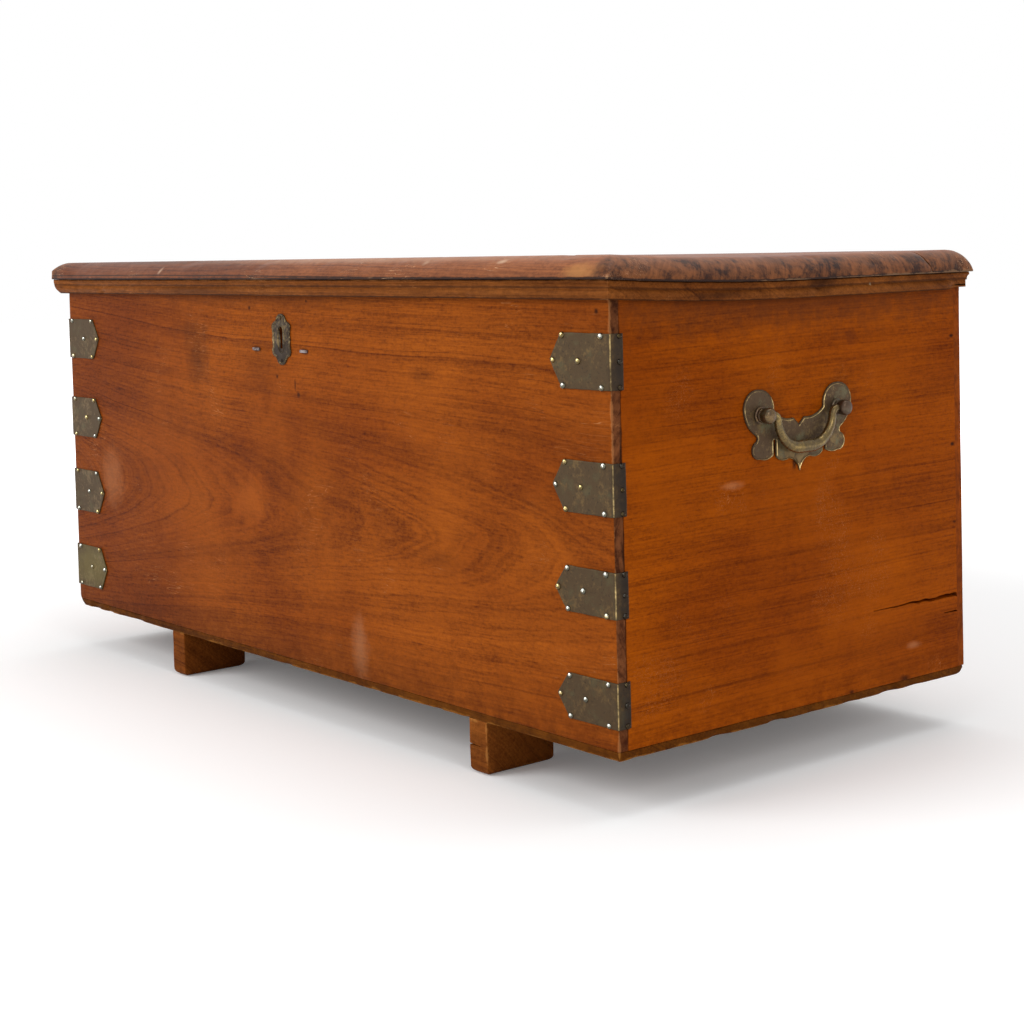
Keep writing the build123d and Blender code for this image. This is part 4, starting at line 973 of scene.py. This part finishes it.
def make_lid():
    nose_steps = [0.0011 * i ** 1.25 for i in range(1, 16)]
    points, faces = block_skin([
        cuts(-LID_HALF, LID_HALF, 0.007, HINGE_MARKS, nose_steps),
        cuts(NOSE_Y, REAR_Y, 0.007, [*(NOSE_Y + s for s in nose_steps), LEAF_FRONT_Y, POCKET_Y,
                                     LID_SPLIT_Y - 0.0005, LID_SPLIT_Y + 0.0005],
             (0.0006, 0.0014, 0.0026)),
        np.array((0.0, LEAF_SEAT, POCKET_DEPTH, 0.012, 0.018, LID_THICK)),
    ], lambda x, y, t: in_hinge(x, y, t)
        | ((abs(y - LID_SPLIT_Y) < 0.0005) & (x > LID_HALF - 0.045) & (t > 0.012)))
    x, y, rise = points.T
    ends = (LID_HALF - abs(x)) * np.where(x < 0, BLUNT_END, 1.0) + END_LIP * (x < 0)
    front = y - NOSE_Y + END_LIP * ease(-x, LID_HALF - 0.07, LID_HALF - 0.005)
    flat = points * (1, 1, 0)
    dents = np.maximum(0, wander(flat, 30, 30) - 0.35) * 0.004 \
        + np.maximum(0, wander(flat, 75, 31) - 0.4) * 0.003
    softened = 0.0012 * (1 + wander(flat, 14, 32))
    edge = np.minimum(ends, front)
    near_both = np.exp(-(abs(ends - front) / 0.006) ** 2) * ease(edge, 0.06, 0.0)
    worn_edge = np.maximum(0.0, edge - softened * near_both)
    top = nose_top(worn_edge) - dents * ease(edge, 0.05, 0.015)
    top -= 0.0012 * ease(REAR_Y - y, 0.004, 0.0)
    top -= 0.0005 * (1 + wander(flat, (4, 9, 0), 33)) * ease(edge, 0.03, 0.08)
    split_gape = ease(abs(y - LID_SPLIT_Y), 0.012, 0.0) * ease(x, LID_HALF - 0.05, LID_HALF)
    top -= 0.0016 * split_gape
    rise = rise / LID_THICK * top
    lip = ease(edge, 0.0012, 0.0)
    low_edge = (points[:, 2] < 1e-6) * lip
    rise += 0.0008 * low_edge
    inward = 0.0004 * (1 + wander(flat, (12, 12, 0), 34)) * ease(edge, 0.004, 0.0)
    inward += 0.0007 * low_edge
    x = x - np.sign(x) * inward * (ends <= front)
    y = y + inward * (front < ends)
    y = y + 0.6 * split_gape * np.sign(y - LID_SPLIT_Y) * 0.0012 * (rise > 0.008)
    slope = np.arcsin(np.maximum(0.0, MIDDLE_Y - y) / CUP_RADIUS)
    height = np.minimum(underside_z(y) + rise * np.cos(slope), LID_CREST_Z)
    shaped = np.stack([x, y + rise * np.sin(slope), height], 1)
    add_piece("lid_board", "shaped", shaped, faces, lid_wood, "lid")


make_lid()


# ------------------------------------------------------------------ mouldings under the lid
def moulding_section():
    """Outline of a strip: out from the case, up to the lid's underside, in metres."""
    outline = [(7.5, -18.5), (7.5, -16.2)]
    outline += arc_through((7.5, -16.0), (9.7, -12.25), (7.5, -8.5), 9)
    outline += arc_through((7.5, -8.5), (8.4, -5.2), (11.0, -3.0), 5)
    outline += [(11.0, -2.0), (10.9, -1.0), (10.5, -0.2)]
    outline += [(1.0, -0.2), (1.0, -18.5), (7.0, -18.5)]
    return np.array(outline) * MM


FULL_CORNER = ((-0.0185, -0.0160, -0.0123, -0.0085, -0.0030, -0.0002),
               (0.0078, 0.0100, 0.0125, 0.0138, 0.0146, 0.0146))


def make_strip(name, place, length, seed, bare_from=2.0):
    """Run the section along a strip; place(share, out) gives x and y at that share of it."""
    section = moulding_section()
    stations = ceil(length / 0.006)
    loops = []
    for step in range(stations + 1):
        share = step / stations
        chip = max(0.0, shake(share * length * 45, seed, 0) - 0.38) * 0.008
        sway = 0.00035 * shake(share * length * 7, seed, 5)
        out = section[:, 0].copy()
        bead = (section[:, 1] < -0.0086) & (section[:, 0] > 0.006)
        worn = 0.00025 * (1 + shake(share * length * 28, seed, 9))
        bare = float(ease(share, bare_from, bare_from + 0.02))
        out[bead] = np.minimum(out[bead] - worn - chip, 0.0097 - bare * 0.004)
        out[~bead & (out > 0.008)] -= 0.6 * worn + sway
        from_left = share * length if name != "lid_moulding_right" else 1.0
        full = float(ease(from_left, 0.05, 0.0))
        swell = np.interp(section[:, 1], *FULL_CORNER)
        out += full * np.maximum(0.0, swell - out) * (section[:, 0] > 0.007)
        at = np.array([place(share, o) for o in out])
        under = underside_z(at[:, 1])
        straight = underside_z(place(share, 0.001)[1])
        blend = ease(section[:, 1], -0.004, -0.0002)
        base = np.where(blend > 0, straight + (under - straight) * blend, straight)
        if name != "lid_moulding_front":
            base = under
        height = base + section[:, 1] + sway + bare * 0.002 * (section[:, 1] < -0.015)
        loops.append(np.column_stack([at, height]))
    points, faces = loop_skin(loops)
    add_piece(name, "run", points, faces, moulding_wood, "lid", smooth=50.0,
              outward=True)


def along_front(share, out):
    return ((2 * share - 1) * (HALF_LENGTH + out), FRONT_Y - out)


def along_end(side):
    def place(share, out):
        start = FRONT_Y - out
        return (side * (HALF_LENGTH + out), start + share * (REAR_Y - start))
    return place


make_strip("lid_moulding_front", along_front, 1.11, 41)
make_strip("lid_moulding_left", along_end(-1), 0.515, 43)
make_strip("lid_moulding_right", along_end(1), 0.515, 45, bare_from=0.94)

# ------------------------------------------------------------------ corner straps
STRAP_THICK = 0.0012
STRAP_RETURN = 0.014
STRAP_SHOULDER = 0.069
STRAP_TIP = 0.085
RIGHT_STRAPS = ((0.429, 0.053), (0.310, 0.050), (0.2115, 0.044), (0.108, 0.044))
LEFT_STRAPS = ((0.425, 0.053), (0.318, 0.053), (0.217, 0.057), (0.113, 0.056))
# In from the corner, and up or down towards the strap's edge.
FRONT_NAILS = ((0.0115, 1), (0.0115, -1), (0.044, 0), (0.0665, 1), (0.0665, -1), (0.0805, 0))
RETURN_NAIL = 0.0105
nail_places = []


def wrap_round(side, along, height, out):
    """Place on the corner: along is minus inward on the front, plus back along the end."""
    bend = 0.0004
    turn = np.clip((along + bend) / (2 * bend), 0.0, 1.0) * pi / 2
    corner_x = HALF_LENGTH - bend + (bend + out) * np.sin(turn) + np.minimum(0, along + bend)
    corner_y = FRONT_Y + bend - (bend + out) * np.cos(turn) + np.maximum(0, along - bend)
    return np.stack([side * corner_x, corner_y, height], 1)


def make_strap(end_name, number, side, middle, width):
    """Pointed leaf on the front and a plain return on the end, hammered down over the arris."""
    seed = 50 + number * 3 + side
    points, faces = block_skin([
        cuts(-STRAP_TIP, STRAP_RETURN + STRAP_THICK, 0.0025,
             [-STRAP_SHOULDER, -0.0004, -0.0002, 0.0, 0.0002, 0.0004], (0.0005, 0.0012)),
        cuts(-1.0, 1.0, 0.11, (), (0.02, 0.05)),
        np.array((0.0, STRAP_THICK)),
    ])
    along, across, out = points.T
    half = np.interp(along, (-STRAP_TIP, -STRAP_SHOULDER, 1.0),
                     (0.0012, width / 2, width / 2))
    ragged = 0.0003 * wander(np.stack([along, np.sign(across), out * 0], 1), (90, 3, 0), seed)
    height = across * (half + ragged)
    tip_sway = 0.0008 * wander(np.stack([along * 0, across, out * 0], 1), 2.0, seed + 1)
    along = along - tip_sway * (along < -0.06)
    from_edge = np.minimum.reduce([half * (1 - abs(across)), points[:, 0] + STRAP_TIP,
                                   STRAP_RETURN + STRAP_THICK - points[:, 0]])
    flat = np.stack([along, height, out * 0], 1)
    upper = out > 0
    bulge = 0.00012 * (1 + wander(flat, 70, seed + 2)) + 0.00008 * wander(flat, 200, seed + 3)
    curl = 0.0006 * np.maximum(0, wander(flat, 38, seed + 4) - 0.1) * ease(from_edge, 0.004, 0)
    out = out + upper * (bulge - 0.0004 * ease(from_edge, 0.0006, 0.0)) + curl
    placed = wrap_round(side, along, middle + height, out)
    beaten = add_piece(f"corner_strap_{end_name}_{number}", "beaten", placed, faces,
                       sheet_brass)
    # Painted highlight along the strap's bend over the arris.
    brighten_rim(beaten, 0, rim_highlight_brass, (0.0, 0.0, 1.0))
    edge = width / 2 - 0.0025
    for inward, rise in FRONT_NAILS:
        nail_places.append(((side * (HALF_LENGTH - inward), FRONT_Y - STRAP_THICK,
                             middle + rise * edge), (0, -1, 0), 1.0))
    for rise in (1, 0, -1):
        nail_places.append(((side * (HALF_LENGTH + STRAP_THICK), FRONT_Y + RETURN_NAIL,
                             middle + rise * edge), (side, 0, 0), 0.9))


for side, end_name, straps in ((1, "right", RIGHT_STRAPS), (-1, "left", LEFT_STRAPS)):
    for number, (middle, width) in enumerate(straps, start=1):
        make_strap(end_name, number, side, middle, width)


# ------------------------------------------------------------------ dome nails
def build_nail_tree():
    """Nail heads on points: each faces its own way, a little larger, smaller or askew."""
    tree = bpy.data.node_groups.new("dome_nails", "GeometryNodeTree")
    for label, kind, value in (("Points", "NodeSocketGeometry", None),
                               ("Head", "NodeSocketObject", None),
                               ("Size", "NodeSocketFloat", 1.0),
                               ("Size Spread", "NodeSocketFloat", 0.1),
                               ("Tilt", "NodeSocketFloat", 0.1),
                               ("Seed", "NodeSocketInt", 1),
                               ("Finish", "NodeSocketMaterial", None)):
        socket = tree.interface.new_socket(label, in_out="INPUT", socket_type=kind)
        if value is not None:
            socket.default_value = value
    tree.interface.new_socket("Nails", in_out="OUTPUT", socket_type="NodeSocketGeometry")
    graph = Graph(tree)
    sockets = graph.add("NodeGroupInput").outputs
    entry = {socket.name: Wire(graph, socket) for socket in sockets}
    facing = graph.out("GeometryNodeInputNamedAttribute", {"Name": "facing"},
                       data_type="FLOAT_VECTOR")
    girth = graph.out("GeometryNodeInputNamedAttribute", {"Name": "girth"}, data_type="FLOAT")
    stand = graph.out("FunctionNodeAlignRotationToVector", {"Vector": facing}, axis="Z")
    lean = graph.out("FunctionNodeRandomValue",
                     {"Seed": entry["Seed"], 0: (-1, -1, -1), 1: (1, 1, 1)},
                     data_type="FLOAT_VECTOR")
    lean = lean * graph.join(entry["Tilt"], entry["Tilt"], 3.0)
    turned = graph.out("FunctionNodeRotateRotation",
                       {0: stand, 1: graph.out("FunctionNodeEulerToRotation", {0: lean})},
                       rotation_space="LOCAL")
    spread = graph.out("FunctionNodeRandomValue",
                       {"Seed": entry["Seed"], 2: 1.0 - entry["Size Spread"],
                        3: graph.math("ADD", 1.0, entry["Size Spread"])}, 1, data_type="FLOAT")
    size = spread * entry["Size"] * girth
    head = graph.out("GeometryNodeObjectInfo", {"Object": entry["Head"]}, "Geometry")
    placed = graph.out("GeometryNodeInstanceOnPoints",
                       {"Points": entry["Points"], "Instance": head, "Rotation": turned,
                        "Scale": graph.join(size, size, size)})
    whole = graph.out("GeometryNodeRealizeInstances", {0: placed})
    dressed = graph.out("GeometryNodeSetMaterial", {0: whole, "Material": entry["Finish"]})
    graph.add("NodeGroupOutput", {0: dressed})
    return tree


NAIL_TREE = build_nail_tree()


def nail_head(name, radius, height, sides=12):
    """Low dome with a thin rim, its seat on the origin, facing +Z."""
    rings = ((1.0, -0.15), (1.0, 0.12), (0.84, 0.62), (0.48, 0.93))
    turns = [2 * pi * i / sides for i in range(sides)]
    loops = [np.array([(radius * r * cos(a), radius * r * sin(a), height * h) for a in turns])
             for r, h in rings]
    points, faces = loop_skin(loops, tip=(0, 0, height))
    mesh = bpy.data.meshes.new(name)
    mesh.from_pydata(points.tolist(), [], faces)
    mesh.polygons.foreach_set("use_smooth", [True] * len(mesh.polygons))
    return bpy.data.objects.new(name, mesh)


def drive_nails(node, places, head, material, seed):
    """Scatter nail heads over named places with the dome nail tree, as one plain mesh."""
    spots, facings, girths = zip(*places)
    points = bpy.data.meshes.new(node + "_points")
    points.from_pydata(spots, [], [])
    facing = points.attributes.new("facing", "FLOAT_VECTOR", "POINT")
    facing.data.foreach_set("vector", np.array(facings, float).ravel())
    girth = points.attributes.new("girth", "FLOAT", "POINT")
    girth.data.foreach_set("value", np.array(girths, float))
    holder = bpy.data.objects.new(node + "_domed", points)
    scene.collection.objects.link(holder)
    modifier = holder.modifiers.new("nails", "NODES")
    modifier.node_group = NAIL_TREE
    sockets = {item.name: item.identifier for item in NAIL_TREE.interface.items_tree
               if item.in_out == "INPUT"}
    for label, value in (("Head", head), ("Size", 1.0), ("Size Spread", 0.1),
                         ("Tilt", 0.12), ("Seed", seed), ("Finish", material)):
        modifier[sockets[label]] = value
    bpy.context.view_layer.update()
    evaluated = holder.evaluated_get(bpy.context.evaluated_depsgraph_get())
    mesh = bpy.data.meshes.new_from_object(evaluated)
    holder.modifiers.remove(modifier)
    holder.data = mesh
    mesh.materials.clear()
    mesh.materials.append(material)
    mesh.polygons.foreach_set("material_index", [0] * len(mesh.polygons))
    mesh.polygons.foreach_set("use_smooth", [True] * len(mesh.polygons))
    return settle(holder, node, "case")


strap_head = nail_head("strap_nail_head", 0.0031, 0.0023)
strap_nails = drive_nails("strap_nails", nail_places, strap_head, nail_brass, seed=3)
strap_nails.data.materials.append(nail_reflection_finish)
strap_nails.data.materials.append(nail_highlight_finish)
# Faces turned half-way between the front lamp and the eye take the bright brass: a painted
# highlight.
HIGHLIGHT_WAY = Vector((0.21, -0.89, 0.41))
# Faces turned down and left take gold: a painted reflection.
LOW_LEFT_WAY = Vector((-0.62, -0.25, -0.74))
for face in strap_nails.data.polygons:
    if face.normal.dot(HIGHLIGHT_WAY) > 0.90:
        face.material_index = 2
    elif face.normal.dot(LOW_LEFT_WAY) > 0.66 and noise.noise(face.center * 24.0) > -0.12:
        face.material_index = 1


# ------------------------------------------------------------------ escutcheon
def by_angle(outline, middle, count):
    """Radius of a closed outline at even angles round a middle point."""
    away = np.array(outline) - np.array(middle)
    angles = np.unwrap(np.arctan2(away[:, 1], away[:, 0]))
    order = np.argsort(angles % (2 * pi))
    return np.interp(np.linspace(0, 2 * pi, count, endpoint=False), (angles % (2 * pi))[order],
                     np.linalg.norm(away, axis=1)[order], period=2 * pi)


BORDER_BEADS = 24


def make_escutcheon():
    wide, tall = 0.0198, 0.0294
    quarter = [(0.0, tall)]
    for middle, end in (((0.31, 0.95), (0.47, 0.83)), ((0.58, 0.73), (0.78, 0.67)),
                        ((0.94, 0.59), (1.0, 0.46)), ((0.92, 0.23), (0.97, 0.0))):
        quarter += arc_through(quarter[-1], (middle[0] * wide, middle[1] * tall),
                               (end[0] * wide, end[1] * tall), 7)
    outline = [(x * sx, z * sz) for x, z in quarter for sx in (1, -1) for sz in (1, -1)]
    count = 192
    reach = by_angle(outline, (0, 0), count)
    keyhole = [(0.0045 * sin(a), 0.010 + 0.0045 * cos(a)) for a in np.linspace(-2.5, 2.5, 40)]
    keyhole += [(s * 0.0024, z) for s in (-1, 1) for z in np.linspace(0.006, -0.0105, 20)]
    keyhole += [(x, -0.0105) for x in np.linspace(-0.0024, 0.0024, 6)]
    hole = by_angle(keyhole, (0, 0.0), count)
    angles = np.linspace(0, 2 * pi, count, endpoint=False)
    turn = np.stack([np.cos(angles), np.sin(angles)], 1)
    steps = ((0.0, 0.0), (0.0, 0.8), (0.5, 1.3), (1.1, 1.7), (1.8, 1.7), (2.5, 1.3), (3.0, 0.9),
             (3.5, 1.1))
    loops = []
    for inset, height in steps:
        ring = turn * (reach - inset * MM)[:, None]
        beads = 0.28 * np.sin(BORDER_BEADS * angles) * (0.9 < inset < 2.6)
        loops.append((ring, height + beads))
    for wide_half, tall_half, height in ((7.6, 16.6, 1.3), (7.2, 16.2, 1.9), (6.6, 15.6, 1.8),
                                         (6.0, 15.1, 0.8)):
        oval = 1 / np.hypot(np.cos(angles) / wide_half, np.sin(angles) / tall_half) * MM
        oval = np.minimum(oval, reach - 0.0038)
        loops.append((turn * np.maximum(oval, hole + 0.0005)[:, None], height))
    loops += [(turn * (hole + wider)[:, None], height)
              for wider, height in ((0.0003, 0.8), (0.0, 0.6), (0.0, 0.0))]
    shaped = []
    for ring, height in loops:
        raised = np.minimum(1.0, height)
        wave = 0.1 * raised * wander(np.column_stack([ring, ring[:, 0] * 0]), 90, 60)
        out = FRONT_Y - (height + wave) * MM * np.ones(count)
        shaped.append(np.column_stack([KEY_X + ring[:, 0], out, ESCUTCHEON_Z + ring[:, 1]]))
    points, faces = loop_skin(shaped, ring=True)
    chased = add_piece("escutcheon", "chased", points, faces, chased_brass,
                       smooth=30.0, outward=True)
    # Painted highlight on the escutcheon's sloping rim.
    brighten_rim(chased, 1, chased_highlight_brass)


make_escutcheon()
pin_head = nail_head("escutcheon_pin_head", 0.0019, 0.0011)
drive_nails("escutcheon_pins",
            [((KEY_X, FRONT_Y - 0.0016, ESCUTCHEON_Z + side * 0.0248), (0, -1, 0), 1.0)
             for side in (-1, 1)], pin_head, chased_brass, seed=5)


# ------------------------------------------------------------------ bail handles
def to_end(side, across, up, out):
    """A point of a handle: across towards the rear, up from the pivots, out of the end."""
    return (side * (HALF_LENGTH + out), HANDLE_Y + across, PIVOT_Z + up)


def plate_outline():
    """Bat-wing outline about the middle of the handle, in millimetres."""
    arcs = (((23.0, -5.0), (36.0, 2.0)), ((41.5, 19.0), (57.0, 25.5)),
            ((72.5, 20.5), (79.0, 8.0)), ((74.5, -8.0), (62.0, -20.0)),
            ((60.5, -24.0), (64.0, -27.0)), ((68.0, -36.0), (57.0, -43.8)),
            ((47.0, -44.7), (38.3, -41.4)), ((38.3, -34.0), (38.3, -27.6)),
            ((36.2, -25.5), (34.1, -27.6)), ((34.1, -36.0), (34.1, -43.2)),
            ((26.0, -47.4), (16.1, -46.2)), ((6.0, -50.0), (0.0, -60.0)))
    half = [(0.0, -13.0), (8.0, -6.0)]
    for middle, end in arcs:
        if abs(half[-1][0] - end[0]) < 0.1:
            half += [middle, end]
        else:
            half += arc_through(half[-1], middle, end, 7)
    return half + [(-x, z) for x, z in reversed(half[1:-1])]


def from_lowest(face):
    """The same face, begun at its lowest corner, so that the faces sort alike every time."""
    start = face.index(min(face))
    return face[start:] + face[:start]


def make_backplate(side, end_name):
    work = bmesh.new()
    ring = [work.verts.new((x * MM, z * MM, 0.0)) for x, z in plate_outline()]
    base = work.faces.new(ring)
    if base.normal.z < 0:
        base.normal_flip()
    work.normal_update()
    lifted = bmesh.ops.extrude_face_region(work, geom=[base])
    top = [g for g in lifted["geom"] if isinstance(g, bmesh.types.BMFace)]
    bmesh.ops.translate(work, vec=(0, 0, 0.0015),
                        verts=list({v for f in top for v in f.verts}))
    for thickness, depth in ((0.0005, 0.0005), (0.0007, 0.0002), (0.0006, -0.0002),
                             (0.0004, -0.0004), (0.0006, 0.0)):
        work.normal_update()
        bmesh.ops.inset_region(work, faces=top, thickness=thickness, depth=depth,
                               use_even_offset=True)
    bmesh.ops.triangulate(work, faces=work.faces[:])
    for vert in work.verts:
        across, up, out = vert.co
        vert.co = to_end(side, across, up, out)
    bmesh.ops.recalc_face_normals(work, faces=work.faces)
    work.verts.index_update()
    points = np.array([v.co for v in work.verts])
    faces = sorted(from_lowest([v.index for v in f.verts]) for f in work.faces)
    work.free()
    plate = add_piece(f"handle_backplate_{end_name}", "cast", points, faces, plate_brass,
                      smooth=30.0, outward=True)
    # Painted highlight on the rim faces turned up and to the front.
    brighten_rim(plate, 0, rim_highlight_brass, toward=(0.0, -0.75, 0.66))


POST_PROFILE = ((0.0, -0.0236), (2.6, -0.0236), (2.6, 0.0022), (8.6, 0.0022), (8.8, 0.0026),
                (8.8, 0.0033), (8.2, 0.0038), (7.4, 0.0041), (7.2, 0.0047), (7.3, 0.0056),
                (7.1, 0.0064), (6.4, 0.0068), (6.5, 0.0074), (7.5, 0.0079), (7.8, 0.0088),
                (7.9, 0.0104), (8.2, 0.0125), (8.0, 0.0148), (7.3, 0.0166), (6.0, 0.0178),
                (4.0, 0.0184), (2.0, 0.0186), (0.0, 0.0186))


def make_post(side, end_name, rear, row):
    """Turned post: the profile spun round its own axis, dented a little."""
    across = POST_HALF if rear else -POST_HALF
    turns = 36
    loops = []
    for radius, out in POST_PROFILE[1:-1]:
        ring = []
        for i in range(turns):
            angle = 2 * pi * i / turns
            dent = 1 + 0.02 * shake(cos(angle) * 1.5, sin(angle) * 1.5,
                                    out * 150 + side + across * 30)
            reach = min(radius * dent, 8.8 if out < 0.005 else 8.2) * MM
            ring.append(to_end(side, across + reach * cos(angle), reach * sin(angle), out))
        loops.append(np.array(ring))
    points, faces = loop_skin(loops, tip=to_end(side, across, 0.0, POST_PROFILE[-1][1]))
    add_piece(f"handle_post_{end_name}_{row}", "turned", points, faces, post_brass,
              smooth=50.0, outward=True)


def bail_route():
    """Centre line of a bail, in millimetres, from the front post to the rear one."""
    corners = [(-47.3, 0.0), (-41.0, 0.0), (-36.0, -34.5), (36.0, -34.5), (41.0, 0.0),
               (47.3, 0.0)]
    radii = (6.5, 31.0, 31.0, 6.5)
    route = [(-53.0, 0.0), corners[0]]
    for before, corner, after, radius in zip(corners, corners[1:], corners[2:], radii):
        a, b, c = (np.array(p) for p in (before, corner, after))
        back, on = (a - b) / np.linalg.norm(a - b), (c - b) / np.linalg.norm(c - b)
        half_angle = np.arccos(np.clip(back @ on, -1, 1)) / 2
        reach = radius / np.tan(half_angle)
        middle_way = (back + on) / np.linalg.norm(back + on)
        centre = b + middle_way * radius / np.sin(half_angle)
        start, end = b + back * reach, b + on * reach
        route += [tuple(start)]
        route += arc_through(tuple(start), tuple(centre - middle_way * radius), tuple(end), 12)
    return route + [corners[-1], (53.0, 0.0)]


def make_bail(side, end_name):
    """Bail: thin at the pins, collared beside the posts, swelling towards the grip."""
    route = np.array(bail_route())
    dense = [route[0]]
    for a, b in zip(route, route[1:]):
        parts = max(1, ceil(np.linalg.norm(b - a) / 2.2))
        dense += [a + (b - a) * i / parts for i in range(1, parts + 1)]
    dense = np.array(dense)
    tangent = np.gradient(dense, axis=0)
    tangent /= np.linalg.norm(tangent, axis=1, keepdims=True)
    turns = 20
    loops = []
    for (across, up), (step_across, step_up) in zip(dense, tangent):
        low = ease(-up, 2.0, 34.0)
        middle = ease(abs(across), 30.0, 4.0)
        radius = 4.1 + 0.5 * float(low) + 0.9 * float(middle * (up < -20))
        if abs(across) > 47.35:
            radius = 2.6
        elif abs(across) > 46.2:
            radius = 3.8
        ring = []
        for i in range(turns):
            angle = 2 * pi * i / turns
            deep = 1 + 0.2 * float(low * (radius > 4.2))
            side_way, out_way = deep * radius * cos(angle), radius * sin(angle)
            hammered = 1 + 0.025 * shake(across * 0.2, up * 0.2, angle)
            point = (across - step_up * side_way * hammered,
                     up + step_across * side_way * hammered)
            ring.append(to_end(side, point[0] * MM, point[1] * MM,
                               BAIL_OUT + out_way * hammered * MM))
        loops.append(np.array(ring))
    points, faces = loop_skin(loops)
    name = f"bail_{end_name}"
    add_piece(name, "forged", points, faces, cast_brass, name, smooth=50.0,
              outward=True)


for side, end_name in ((-1, "left"), (1, "right")):
    make_backplate(side, end_name)
    make_post(side, end_name, False, "front")
    make_post(side, end_name, True, "rear")
    make_bail(side, end_name)


# ------------------------------------------------------------------ floor and light
def make_floor():
    """Wide pale floor that reads as white paper to the eye and keeps the chest's shadow."""
    mesh = bpy.data.meshes.new("floor")
    reach = 12.0
    mesh.from_pydata([(-reach, -reach, 0), (reach, -reach, 0), (reach, reach, 0),
                      (-reach, reach, 0)], [], [(0, 1, 2, 3)])
    floor = bpy.data.objects.new("floor", mesh)
    scene.collection.objects.link(floor)
    made = Finish("floor_paper", Roughness=0.9, Specular_IOR_Level=0.0)
    seen = made.seen_white()
    glow = seen * made.position.length().step(0.9, 2.2, 0.10, 1.0)
    made.dress(Base_Color=made.mix(seen, (0.80, 0.80, 0.80), (0.97, 0.97, 0.97)),
               Emission_Color=(1.0, 1.0, 1.0), Emission_Strength=glow)
    mesh.materials.append(made.material)


make_floor()


def white_surroundings(strength):
    """Plain grey studio light; the eye, mirrors and glass see white instead."""
    world = bpy.data.worlds.new("studio")
    world.use_nodes = True
    scene.world = world
    graph = Graph(world.node_tree)
    shown = graph.out("ShaderNodeMix", {0: graph.seen_white(), 2: strength, 3: 1.0},
                      clamp_factor=True)
    back = next(n for n in graph.nodes if n.type == "BACKGROUND")
    graph.feed(back.inputs["Color"], (1.0, 1.0, 1.0))
    graph.feed(back.inputs["Strength"], shown)


white_surroundings(0.55)


def soft_light(name, place, aim, size, power):
    """Large square lamp that looks at a point."""
    lamp_data = bpy.data.lights.new(name, "AREA")
    lamp_data.shape = "RECTANGLE"
    lamp_data.size, lamp_data.size_y = size
    lamp_data.energy = power
    lamp = bpy.data.objects.new(name, lamp_data)
    lamp.location = place
    lamp.rotation_euler = (Vector(aim) - Vector(place)).to_track_quat("-Z", "Y").to_euler()
    scene.collection.objects.link(lamp)


soft_light("softbox_front", (-1.2, -3.4, 2.4), (0, 0, 0.25), (2.4, 2.0), 75.0)
soft_light("softbox_right", (3.6, -0.6, 1.9), (0, 0, 0.25), (1.8, 1.8), 26.0)
soft_light("softbox_above", (0.2, 0.6, 3.6), (0, 0, 0.3), (3.0, 3.0), 45.0)
